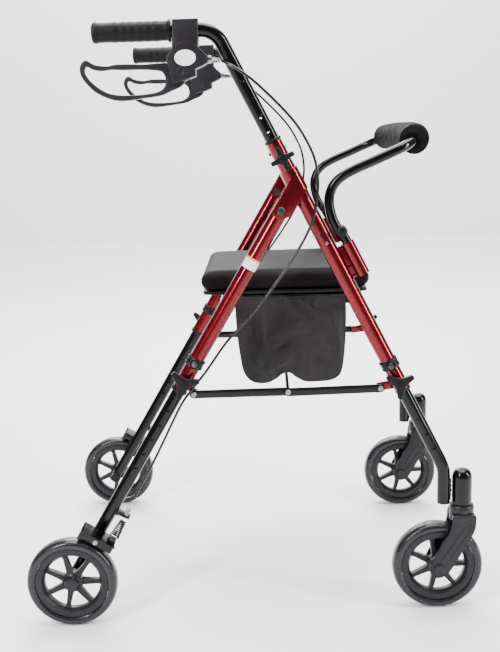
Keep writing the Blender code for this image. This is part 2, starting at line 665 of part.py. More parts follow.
def make_bars():
    """The folding bars: the rear pair is joined by the cross rod that lifts them, the front pair carries the rivets."""
    for word, side in SIDES.items():
        bm = bmesh.new()
        add_oblong(bm, BAR_FRONT, BAR_MIDDLE, BAR_HALF, side * 0.2274, side * 0.2312)
        bar = finish("front_bar_" + word, bm, "black_paint", "front_bars")
        bm = bmesh.new()
        for spot in (BAR_FRONT, BAR_MIDDLE):
            add_disc(bm, at_side(spot, side, 0.2305), (0, side, 0), 0.0045, 0, 0.0026, 10)
        join(bar, bm, "bar_rivets_" + word, "steel", "front_bars")
    bm = bmesh.new()
    add_sweep(bm, [at_side(BAR_MIDDLE, -1, 0.2250), at_side(BAR_MIDDLE, 1, 0.2250)], 0.0030, 10)
    rod = finish("rear_bars_and_rod", bm, "black_paint", "rear_bars")
    bm = bmesh.new()
    for side in SIDES.values():
        add_oblong(bm, BAR_REAR, BAR_MIDDLE, BAR_HALF, side * 0.2230, side * 0.2268)
    join(rod, bm, "rear_bar_pair", "black_paint", "rear_bars")


def make_seat():
    hinge = on_front(CROSS_Z)
    bm = bmesh.new()
    low = [(-0.088, -0.150), (0.211, -0.150), (0.211, 0.150), (-0.088, 0.150)]
    corner, rows = 0.022, []
    for z, shrink in ((0.5405, 0.004), (0.5480, 0.0), (0.5640, 0.003), (0.5735, 0.012)):
        ring = []
        for (cx, cy), start in zip(low, (180, 270, 0, 90)):
            inset = corner
            ox = cx + (inset if cx < 0 else -inset)
            oy = cy + (inset if cy < 0 else -inset)
            for k in range(5):
                angle = math.radians(start + 22.5 * k)
                ring.append(bm.verts.new((ox + (corner - shrink) * math.cos(angle),
                    oy + (corner - shrink) * math.sin(angle), z)))
        rows.append(ring)
    for first, second in zip(rows, rows[1:]):
        join_rings(bm, first, second)
    bm.faces.new(rows[0])
    bm.faces.new(rows[-1])
    finish("seat_cushion", bm, "seat_vinyl", "seat")
    bm = bmesh.new()
    add_box(bm, (-0.078, -0.140, 0.5345), (0.201, 0.140, 0.5402))
    board = finish("seat_board", bm, "grey_plastic", "seat")
    bm = bmesh.new()
    rear = on_rear(CROSS_Z)
    for y in (-0.095, 0.095):
        add_box(bm, (hinge.x - 0.0135, y - 0.012, hinge.z - 0.0135), (hinge.x + 0.0135, y + 0.012, 0.5350))
        add_box(bm, (rear.x - 0.010, y - 0.012, CROSS_Z + CROSS_R + GAP),
            (rear.x + 0.010, y + 0.012, 0.5350))
    join(board, bm, "seat_clips", "grey_plastic", "seat")
    bm = bmesh.new()
    add_sweep(bm, [at_side(hinge, -1, 0.15), at_side(hinge, 1, 0.15)], CROSS_R + 0.0003, 16)
    cut(board, bm, "clip_bore", "seat")


def make_bag():
    outer = [(-0.022, 0.5280), (0.163, 0.5000), (0.1530, 0.4350), (0.1470, 0.3900), (0.1380, 0.3800),
        (0.1050, 0.3770),
             (0.0780, 0.3840), (0.0710, 0.3950), (0.0510, 0.3950), (0.0440, 0.3840), (0.0200,
                 0.3770), (-0.0020, 0.3810),
             (-0.0110, 0.4000), (-0.0190, 0.4500)]
    outer[0] = (-0.0200, 0.5050)
    inner = [(-0.0165, 0.5400), (0.1595, 0.5400), (0.1595, 0.5000), (0.1495, 0.4360), (0.1435, 0.3930),
        (0.1360, 0.3835),
             (0.1060, 0.3805), (0.0800, 0.3870), (0.0730, 0.3985), (0.0490, 0.3985), (0.0420,
                 0.3870), (0.0190, 0.3805),
             (0.0000, 0.3850), (-0.0070, 0.4020), (-0.0155, 0.4510)]
    bm = bmesh.new()
    add_plate(bm, outer, -0.135, 0.135)
    bag = finish("bag", bm, "bag_fabric")
    bm = bmesh.new()
    add_plate(bm, inner, -0.1315, 0.1315)
    cut(bag, bm, "bag_hollow")


def backrest_path():
    side_points = [on_front(0.616, 0.050) + FRONT_SIDE * SOCKET_OFFSET,
        on_front(0.616, -0.006) + FRONT_SIDE * SOCKET_OFFSET]
    side_points += [Vector(p) for p in ((0.142, 0, 0.656), (0.1345, 0, 0.676), (0.132, 0, 0.697),
        (0.1375, 0, 0.716), (0.150, 0, 0.730),
                                        (0.171, 0, 0.742), (0.204, 0, 0.7555), (0.236, 0, 0.769))]
    widths = [LEG_PLANE] * 9 + [0.222]
    curve = [(0.256, 0.212, 0.7775), (0.268, 0.193, 0.783), (0.275, 0.165, 0.7865), (0.280, 0.120, 0.788),
        (0.283, 0.060, 0.789)]
    return side_points, widths, curve


def make_backrest():
    side_points, widths, curve = backrest_path()
    half = [Vector((p.x, w, p.z)) for p, w in zip(side_points, widths)] + [Vector(c) for c in curve]
    mirrored = [Vector((p.x, -p.y, p.z)) for p in half]
    path = mirrored + [Vector((0.284, 0, 0.789))] + half[::-1]
    bm = bmesh.new()
    add_sweep(bm, path, BACKREST_R, 10)
    tube = finish("backrest_tube", bm, "black_paint", "backrest")
    bm = bmesh.new()
    for side in SIDES.values():
        centre = at_side(on_front(0.616, -0.020) + FRONT_SIDE * SOCKET_OFFSET, side, LEG_PLANE)
        for face in (1, -1):
            dome = [(0, 0.0040), (0.0070, 0.0060), (0.0092, 0.0100), (0.0086, 0.0140), (0.0050, 0.0165),
                (0, 0.0172)]
            add_turned(bm, dome, centre, (0, side * face, 0), 12)
    join(tube, bm, "backrest_knobs", "grey_plastic", "backrest")
    pad_half = [Vector(c) for c in curve[1:]]
    pad_path = [Vector((p.x, -p.y, p.z)) for p in pad_half] + [Vector((0.284, 0, 0.789))] + pad_half[::-1]
    bm = bmesh.new()
    radii = [0.0215] + [0.0235] * (len(pad_path) - 2) + [0.0215]
    add_sweep(bm, pad_path, radii, 14, BACKREST_R + 0.0006)
    finish("backrest_pad", bm, "foam", "backrest")


def make_materials():
    material("red_paint", (0.42, 0.008, 0.018), 0.22, 0.6)
    material("black_paint", (0.008, 0.008, 0.009), 0.2)
    material("grey_plastic", (0.055, 0.048, 0.055), 0.5)
    material("tyre_rubber", (0.05, 0.048, 0.052), 0.35)
    material("rubber", (0.012, 0.012, 0.013), 0.6)
    material("steel", (0.55, 0.55, 0.57), 0.3, 1.0)
    material("seat_vinyl", (0.02, 0.015, 0.017), 0.5)
    material("bag_fabric", (0.022, 0.017, 0.02), 0.8)
    material("foam", (0.015, 0.014, 0.015), 0.75)


def main():
    clear_scene()
    make_materials()
    make_pivots()
    make_cross_tubes()
    for word, side in SIDES.items():
        make_front_frame(word, side)
        make_rear_frame(word, side)
        make_collars(word, side)
        make_buttons(word, side)
        make_knobs(word, side)
        make_handle(word, side)
        make_housing(word, side)
        make_lever(word, side)
        make_front_leg(word, side)
        make_caster(word, side)
        make_wheel("caster", word, side, CASTER_WHEEL)
        make_wheel("rear", word, side, REAR_WHEEL)
        make_rear_leg(word, side)
        make_brake(word, side)
        make_cable(word, side)
    make_bars()
    make_seat()
    make_bag()
    make_backrest()


main()
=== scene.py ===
"""Folding rollator walker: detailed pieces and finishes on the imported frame."""

import math

import bpy
from mathutils import Matrix, Vector, noise


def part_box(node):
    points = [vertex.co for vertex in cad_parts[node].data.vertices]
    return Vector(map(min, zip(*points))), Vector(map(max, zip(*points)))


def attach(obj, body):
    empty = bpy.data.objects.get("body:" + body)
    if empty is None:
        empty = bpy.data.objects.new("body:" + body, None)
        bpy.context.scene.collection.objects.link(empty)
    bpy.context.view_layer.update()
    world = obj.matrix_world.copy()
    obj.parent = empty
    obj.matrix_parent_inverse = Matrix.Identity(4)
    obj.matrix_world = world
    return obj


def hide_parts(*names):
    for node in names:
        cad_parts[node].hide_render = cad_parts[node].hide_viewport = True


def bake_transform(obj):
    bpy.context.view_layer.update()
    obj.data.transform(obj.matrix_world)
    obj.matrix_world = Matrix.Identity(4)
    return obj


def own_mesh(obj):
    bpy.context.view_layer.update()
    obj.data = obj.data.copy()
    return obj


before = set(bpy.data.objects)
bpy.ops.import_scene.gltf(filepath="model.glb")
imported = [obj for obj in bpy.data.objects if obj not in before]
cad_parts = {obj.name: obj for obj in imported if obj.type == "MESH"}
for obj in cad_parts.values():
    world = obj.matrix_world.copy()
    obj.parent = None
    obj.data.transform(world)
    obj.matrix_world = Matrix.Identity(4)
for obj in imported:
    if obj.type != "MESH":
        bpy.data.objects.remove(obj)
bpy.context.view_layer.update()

bl_info = {
    "name": "Rollator Walker",
    "version": (1, 0, 0),
    "blender": (4, 5, 0),
    "location": "View3D > Sidebar > Walker",
    "description": "Builds the tubes, wheels, brakes, seat and bag of a folding rollator walker",
    "category": "Add Mesh",
}

# Sizes and places, in metres: X is forward, Y is the user's left and Z is up.
SIDES = {"right": -1, "left": 1}
PLANE = 0.224
GRIP_Y = 0.232
GRIP_Z = 0.9575
TUBE_R = 0.0127
BORE_R = 0.0112
LEG_R = 0.0107
HANDLE_R = 0.0109
DOWN_FRONT = Vector((0.4472136, 0, -0.8944272))
DOWN_REAR = Vector((-0.5144958, 0, -0.8574929))
OUT_FRONT = Vector((0.8944272, 0, 0.4472136))
OUT_REAR = Vector((0.8574929, 0, -0.5144958))
HINGE = Vector((0.056, 0, 0.682))
BAR_REAR = Vector((-0.094, 0, 0.385))
BAR_MIDDLE = Vector((0.061, 0, 0.386))
BAR_FRONT = Vector((0.212, 0, 0.389))
STEM = Vector((0.348, 0, 0.184))
CASTER_HUB = Vector((0.3076, 0, 0.076))
REAR_HUB = Vector((-0.3076, 0, 0.076))
BRAKE_BOLT = Vector((-0.2638, 0, 0.149))
SOCKET_OFFSET = 0.0294
CROSS_Z = 0.522
SOCKET_Z = 0.616
FRONT_TOP_Z = 0.7875
FRONT_END_Z = 0.389
REAR_END_Z = 0.396
REAR_WHEEL_Y = 0.260
LUG_FACES = (0.2188, 0.2226)
CABLE_R = 0.0022
HOLE_PITCH = 0.0286
BLIND_HOLES = ((-0.02, -0.0075), (0.0075, 0.02))
BAG_HALF = 0.1320
SENSOR = 36
FINISHES = {}


# Places along the tubes


def on_front(z, along=0.0):
    return Vector((0.0475 + 0.5 * (0.7875 - z), 0, z)) + DOWN_FRONT * along


def on_rear(z, along=0.0):
    return Vector((0.056 - 0.6 * (0.682 - z), 0, z)) + DOWN_REAR * along


def at_side(point, side, y=PLANE):
    return Vector((point[0], side * y, point[2]))


def smooth_path(points, steps=8, closed=False):
    """Points on a smooth curve through the given points."""
    points = [Vector(p) for p in points]
    if closed:
        ends = [points[-1]] + points + points[:2]
    else:
        ends = [points[0] * 2 - points[1]] + points + [points[-1] * 2 - points[-2]]
    curve = []
    for i in range(1, len(ends) - 2):
        a, b, c, d = ends[i - 1 : i + 3]
        for k in range(steps):
            t = k / steps
            swing = (2 * a - 5 * b + 4 * c - d) * t**2 + (3 * b - a - 3 * c + d) * t**3
            curve.append(0.5 * (2 * b + (c - a) * t + swing))
    return curve if closed else curve + [points[-1]]


def arc(centre, radius, start, end, steps=12):
    """Points (x, z) on an arc, with its angles in degrees."""
    points = []
    for k in range(steps + 1):
        angle = math.radians(start + (end - start) * k / steps)
        points.append((centre[0] + radius * math.cos(angle), centre[1] + radius * math.sin(angle)))
    return points


def oblong(start, end, half):
    """Outline (x, z) of a flat bar with round ends."""
    lean = math.degrees(math.atan2(end[1] - start[1], end[0] - start[0]))
    return arc(end, half, lean - 90, lean + 90) + arc(start, half, lean + 90, lean + 270)


def side_view(points):
    """Points in space as an (x, z) outline."""
    return [(p.x, p.z) for p in points]


def soft_outline(line, steps=4, closed=True):
    """A smooth outline through (x, z) points."""
    return side_view(smooth_path([(x, 0, z) for x, z in line], steps, closed))


def facing(axis):
    """The turn that points upwards shapes along an axis."""
    return Vector((0, 0, 1)).rotation_difference(Vector(axis)).to_matrix().to_4x4()


# Modelling tools


def deselect():
    if bpy.context.mode != "OBJECT":
        bpy.ops.object.mode_set(mode="OBJECT")
    bpy.ops.object.select_all(action="DESELECT")


def pick(*objs):
    deselect()
    for obj in objs:
        obj.select_set(True)
    bpy.context.view_layer.objects.active = objs[0]


def place(obj, matrix):
    """Moves a shape and applies the move, so its object stays at the origin."""
    pick(obj)
    obj.matrix_world = matrix @ obj.matrix_world
    bpy.ops.object.transform_apply(location=True, rotation=True, scale=True)
    return obj


def close_up(obj, merge=0.000005):
    """Merges doubled points and turns the faces outwards."""
    pick(obj)
    bpy.ops.object.mode_set(mode="EDIT")
    bpy.ops.mesh.select_all(action="SELECT")
    bpy.ops.mesh.remove_doubles(threshold=merge)
    bpy.ops.mesh.normals_make_consistent(inside=False)
    bpy.ops.object.mode_set(mode="OBJECT")
    return obj


def wire(lines, closed=False, radii=None):
    """A curve object with a straight-sided spline for each list of points."""
    deselect()
    bpy.ops.curve.primitive_nurbs_path_add()
    obj = bpy.context.object
    obj.data.splines.clear()
    for points in lines:
        spline = obj.data.splines.new("POLY")
        spline.points.add(len(points) - 1)
        for k, (spot, point) in enumerate(zip(spline.points, points)):
            spot.co = (*point, 1)
            if radii:
                spot.radius = radii[k]
        spline.use_cyclic_u = closed
    return obj


def to_mesh(obj):
    pick(obj)
    bpy.ops.object.convert(target="MESH")
    return close_up(bpy.context.object)


def modify(obj, kind, **settings):
    """Adds a modifier, sets it and applies it."""
    pick(obj)
    bpy.ops.object.modifier_add(type=kind)
    modifier = obj.modifiers[-1]
    for key, value in settings.items():
        setattr(modifier, key, value)
    bpy.ops.object.modifier_apply(modifier=modifier.name)
    return obj


def tube(points, radius, sides=32, radii=None, wall=None, closed=False):
    """A round bar or pipe along a path. With a wall it is open at its ends."""
    obj = wire([points], closed, radii)
    obj.data.dimensions = "3D"
    obj.data.bevel_depth = radius
    obj.data.bevel_resolution = max(0, (sides - 4) // 2)
    obj.data.use_fill_caps = wall is None
    obj = to_mesh(obj)
    if wall:
        modify(obj, "SOLIDIFY", thickness=wall, offset=-1)
    return obj


def plate(outlines, low, high, bevel=0.0006, steps=2):
    """A flat piece cut to outlines of (x, z), between two values of y, with rounded edges."""
    low, high = min(low, high), max(low, high)
    obj = wire([[(x, z, 0) for x, z in line] for line in outlines], closed=True)
    data = obj.data
    data.dimensions = "2D"
    data.fill_mode = "BOTH"
    data.offset = -bevel
    data.extrude = (high - low) / 2 - bevel
    data.bevel_depth = bevel
    data.bevel_resolution = steps
    obj = to_mesh(obj)
    return place(obj, Matrix.Translation((0, (low + high) / 2, 0)) @ Matrix.Rotation(math.pi / 2, 4, "X"))


def turned(profile, centre, axis, steps=48, ring=False):
    """Turns (radius, height) points round an axis. A ring is a closed profile round a hole."""
    obj = wire([[(r, 0, h) for r, h in profile]], closed=ring)
    obj.data.dimensions = "3D"
    pick(obj)
    bpy.ops.object.convert(target="MESH")
    obj = bpy.context.object
    bpy.ops.object.mode_set(mode="EDIT")
    bpy.ops.mesh.select_all(action="SELECT")
    bpy.ops.mesh.spin(steps=steps, angle=2 * math.pi, center=(0, 0, 0), axis=(0, 0, 1))
    bpy.ops.object.mode_set(mode="OBJECT")
    close_up(obj)
    return place(obj, Matrix.Translation(Vector(centre)) @ facing(axis))


def peg(radius, low, high, centre, axis, steps=20):
    """A plain round bar between two heights along an axis, for cutting holes."""
    return turned([(0, low), (radius, low), (radius, high), (0, high)], centre, axis, steps)


def bead(points, radius=0.0016):
    """A weld bead with the small ripples of its passes."""
    path = smooth_path(points, 10)
    radii = [1 + 0.22 * math.sin(2.1 * k) * (k % 2) + 0.08 * math.sin(k) for k in range(len(path))]
    radii[0] = radii[-1] = 0.55
    return tube(path, radius, 10, radii)


def join(*objs):
    pick(*objs)
    bpy.ops.object.join()
    return bpy.context.object


def carve(obj, *cutters):
    """Cuts shapes out of a piece and removes the cutters."""
    for cutter in cutters:
        modify(obj, "BOOLEAN", operation="DIFFERENCE", solver="EXACT", object=cutter)
        bpy.data.objects.remove(cutter)
    return obj


def finished(obj, name, body, slot, finish=None, stands_for=(), angle=34):
    """Names a piece, smooths it, gives it its finish and lets it ride on its body."""
    pick(obj)
    bpy.ops.object.transform_apply(location=True, rotation=True, scale=True)
    bpy.ops.object.shade_smooth_by_angle(angle=math.radians(angle))
    obj.name = name
    obj.data.materials.clear()
    obj.data.materials.append(FINISHES[finish or slot])
    if body:
        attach(obj, body)
    if stands_for:
        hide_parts(*([stands_for] if isinstance(stands_for, str) else stands_for))
    return obj


def screw(centre, axis, radius=0.004, rise=0.0018):
    """A cross-head screw: a domed head with two crossed slots."""
    head = [(0, -0.0004), (radius, -0.0004), (radius, rise * 0.35), (radius * 0.8, rise * 0.85), (0, rise)]
    obj = turned(head, centre, axis, 28)
    for angle in (0.4, 0.4 + math.pi / 2):
        deselect()
        bpy.ops.mesh.primitive_cube_add(size=1)
        slot = bpy.context.object
        shape = Matrix.Rotation(angle, 4, "Z") @ Matrix.Diagonal(
            (radius * 1.25, radius * 0.24, rise * 1.1, 1)
        )
        place(
            slot,
            Matrix.Translation(Vector(centre)) @ facing(axis) @ Matrix.Translation((0, 0, rise)) @ shape
        )
        carve(obj, slot)
    return obj


# Finishes


class Value:
    """A shader socket that takes Python's own operators."""

    def __init__(self, finish, socket):
        self.finish = finish
        self.socket = socket

    def maths(self, operation, first, second):
        return self.finish.node("ShaderNodeMath", {"operation": operation}, {0: first, 1: second})

    def __add__(self, other):
        return self.maths("ADD", self, other)

    def __radd__(self, other):
        return self.maths("ADD", other, self)

    def __sub__(self, other):
        return self.maths("SUBTRACT", self, other)

    def __rsub__(self, other):
        return self.maths("SUBTRACT", other, self)

    def __mul__(self, other):
        return self.maths("MULTIPLY", self, other)

    def __rmul__(self, other):
        return self.maths("MULTIPLY", other, self)


class Finish:
    """One material, with its Principled shader's plain numbers set at the start."""

    def __init__(self, name, **numbers):
        self.material = bpy.data.materials.new(name)
        self.material.use_nodes = True
        self.tree = self.material.node_tree
        self.shader = self.tree.nodes["Principled BSDF"]
        for socket, value in numbers.items():
            self.shader.inputs[socket.replace("_", " ")].default_value = value
        FINISHES[name] = self.material

    def node(self, kind, settings=None, inputs=None, out=0):
        made = self.tree.nodes.new(kind)
        for key, value in (settings or {}).items():
            if key == "stops":
                for element, (spot, shade) in zip(made.color_ramp.elements, value):
                    element.position = spot
                    element.color = (*shade, 1)
            else:
                setattr(made, key, value)
        for key, value in (inputs or {}).items():
            if isinstance(value, Value):
                self.tree.links.new(value.socket, made.inputs[key])
            else:
                made.inputs[key].default_value = value
        return Value(self, made.outputs[out])

    def feed(self, socket, value):
        self.tree.links.new(value.socket, self.shader.inputs[socket])

    def spot(self, scale=(1, 1, 1), turn=(0, 0, 0)):
        """Object coordinates, stretched and turned."""
        where = self.node("ShaderNodeTexCoord", out=3)
        return self.node("ShaderNodeMapping", None, {"Vector": where, "Scale": scale, "Rotation": turn})

    def noise(self, scale, detail=3.0, stretch=(1, 1, 1), roughness=0.5):
        sizes = {"Vector": self.spot(stretch), "Scale": scale, "Detail": detail, "Roughness": roughness}
        return self.node("ShaderNodeTexNoise", {"noise_dimensions": "3D"}, sizes)

    def between(self, value, low, high, start=0.3, end=0.7):
        """A colour between two, as a value goes from start to end."""
        stops = ((start, low), (end, high))
        return self.node("ShaderNodeValToRGB", {"stops": stops}, {"Fac": value})

    def span(self, value, low, high, start=0.3, end=0.7):
        limits = {"Value": value, 1: start, 2: end, 3: low, 4: high}
        return self.node("ShaderNodeMapRange", {"clamp": True}, limits)

    def bump(self, height, strength, distance, under=None):
        inputs = {"Height": height, "Strength": strength, "Distance": distance}
        if under:
            inputs["Normal"] = under
        return self.node("ShaderNodeBump", None, inputs)


def paint(name, colour, deep, roughness, metallic, coat):
    """Gloss paint: a faint orange peel, small specks, and smears in the gloss."""
    made = Finish(name, Coat_Weight=coat, Coat_Roughness=0.06, Metallic=metallic, Specular_IOR_Level=0.2)
    specks = made.noise(2600, 1.0)
    cloud = made.noise(22, 3.0)
    made.feed("Base Color", made.between(specks * 0.3 + cloud * 0.7, deep, colour, 0.35, 0.62))
    made.feed("Roughness", made.span(made.noise(60, 5.0), roughness * 0.8, roughness * 1.35))
    made.feed("Normal", made.bump(made.noise(260, 2.0), 0.05, 0.0004))
    return made


def plastic(name, colour, lighter, roughness, grain=1800, depth=0.25, gloss=0.15, coat=0.0):
    """Moulded plastic or rubber with a fine grain and rubbed patches."""
    made = Finish(name, Specular_IOR_Level=gloss, Coat_Weight=coat, Coat_Roughness=0.12)
    cloud = made.noise(35, 4.0)
    made.feed("Base Color", made.between(cloud, colour, lighter))
    made.feed("Roughness", made.span(made.noise(90, 4.0), roughness * 0.85, roughness * 1.2))
    made.feed("Normal", made.bump(made.noise(grain, 2.0), depth, 0.0003))
    return made


def metal(name, colour, duller, roughness, stretch):
    made = Finish(name, Metallic=1.0)
    made.feed("Base Color", made.between(made.noise(160, 4.0), duller, colour))
    made.feed("Roughness", made.span(made.noise(900, 3.0, stretch), roughness * 0.7, roughness * 1.4))
    made.feed("Normal", made.bump(made.noise(1400, 2.0, stretch), 0.12, 0.0002))
    return made


def vinyl():
    made = Finish("seat_vinyl", Specular_IOR_Level=0.06)
    grain = made.node(
        "ShaderNodeTexVoronoi", {"feature": "DISTANCE_TO_EDGE"}, {"Vector": made.spot(), "Scale": 620.0}
    )
    creases = made.span(grain, 0.0, 1.0, 0.0, 0.25)
    worn = made.noise(14, 4.0)
    made.feed("Base Color", made.between(worn, (0.0025, 0.0018, 0.002), (0.007, 0.005, 0.006)))
    made.feed("Roughness", made.span(worn * 0.5 + creases * 0.5, 0.56, 0.72, 0.2, 0.8))
    soft = made.bump(made.noise(30, 3.0), 0.25, 0.002)
    made.feed("Normal", made.bump(creases, 0.35, 0.0004, soft))


def cloth():
    """Coated nylon: a plain weave whose threads catch the light, over soft creases."""
    made = Finish("bag_fabric", Sheen_Weight=0.08, Sheen_Roughness=0.4, Specular_IOR_Level=0.3)
    warp = made.node(
        "ShaderNodeTexWave", {"bands_direction": "X"},
        {"Vector": made.spot(), "Scale": 260.0, "Distortion": 0.6}
    )
    weft = made.node(
        "ShaderNodeTexWave", {"bands_direction": "Z"},
        {"Vector": made.spot(), "Scale": 260.0, "Distortion": 0.6}
    )
    weave = made.node("ShaderNodeMath", {"operation": "MAXIMUM"}, {0: warp, 1: weft})
    tone = made.noise(26, 5.0)
    made.feed(
        "Base Color",
        made.between(tone * 0.7 + weave * 0.3, (0.002, 0.0014, 0.0017), (0.010, 0.007, 0.0085), 0.3, 0.75)
    )
    made.feed("Roughness", made.span(tone, 0.5, 0.72))
    creases = made.bump(made.noise(48, 5.0, (1, 1, 0.55), 0.6), 0.8, 0.006)
    made.feed("Normal", made.bump(weave, 0.35, 0.0003, creases))


def make_finishes():
    looks = bpy.context.scene.walker_colours
    red, black, grey = (tuple(c) for c in (looks.red, looks.black, looks.grey))
    paint("red_paint", red, tuple(c * 0.72 for c in red), 0.25, 0.85, 0.45)
    paint("black_paint", black, tuple(c * 0.6 for c in black), 0.17, 0.0, 0.10)
    plastic("grey_plastic", grey, tuple(c * 1.5 for c in grey), 0.38, 1800, 0.2, 0.2, 0.08)
    plastic("black_plastic", (0.003, 0.003, 0.003), (0.007, 0.006, 0.007), 0.40)
    plastic("rubber", (0.003, 0.003, 0.003), (0.006, 0.006, 0.006), 0.45, 1200, 0.35, 0.12)
    plastic("tyre_rubber", (0.0085, 0.0070, 0.0095), (0.0115, 0.0095, 0.0130), 0.26, 900, 0.12, 0.25, 0.2)
    plastic("foam", (0.0025, 0.0025, 0.0025), (0.006, 0.0055, 0.006), 0.78, 700, 0.6, 0.04)
    plastic("cable_jacket", (0.002, 0.002, 0.002), (0.004, 0.004, 0.004), 0.24, 900, 0.05, 0.3, 0.2)
    metal("steel", (0.38, 0.38, 0.40), (0.20, 0.20, 0.21), 0.30, (1, 1, 8))
    metal("spring_steel", (0.03, 0.03, 0.032), (0.012, 0.012, 0.013), 0.3, (1, 1, 4))
    metal("dark_steel", (0.10, 0.10, 0.11), (0.05, 0.05, 0.055), 0.34, (1, 1, 4))
    plastic("white_label", (0.80, 0.80, 0.78), (0.88, 0.88, 0.87), 0.35, 600, 0.1)
    plastic("orange_label", (0.75, 0.22, 0.03), (0.85, 0.28, 0.05), 0.35, 600, 0.1)
    vinyl()
    cloth()


class WalkerColours(bpy.types.PropertyGroup):
    red: bpy.props.FloatVectorProperty(
        name="Frame", description="Paint of the folding frame", subtype="COLOR", size=3,
        default=(0.15, 0.0008, 0.006), min=0, max=1
    )
    black: bpy.props.FloatVectorProperty(
        name="Tubes", description="Paint of the legs and handles", subtype="COLOR", size=3,
        default=(0.0012, 0.0012, 0.0014), min=0, max=1
    )
    grey: bpy.props.FloatVectorProperty(
        name="Fittings", description="Moulded plastic of forks, rims and brakes", subtype="COLOR", size=3,
        default=(0.0085, 0.0070, 0.0090), min=0, max=1
    )


class WalkerSizes(bpy.types.PropertyGroup):
    spokes: bpy.props.IntProperty(
        name="Spokes", description="Spokes in each wheel", default=7, min=3, max=12
    )
    coils: bpy.props.IntProperty(
        name="Coils", description="Coils of each brake spring", default=9, min=4, max=14
    )
    grip_ribs: bpy.props.IntProperty(
        name="Grip ribs", description="Soft swellings along each grip", default=6, min=0, max=20
    )
    seat_swell: bpy.props.FloatProperty(
        name="Seat swell", description="How far the seat's padding may swell", default=0.004, min=0,
        max=0.02, unit="LENGTH"
    )
    bag_sag: bpy.props.FloatProperty(
        name="Bag sag", description="How far the bag's cloth bellies out", default=0.006, min=0, max=0.02,
        unit="LENGTH"
    )


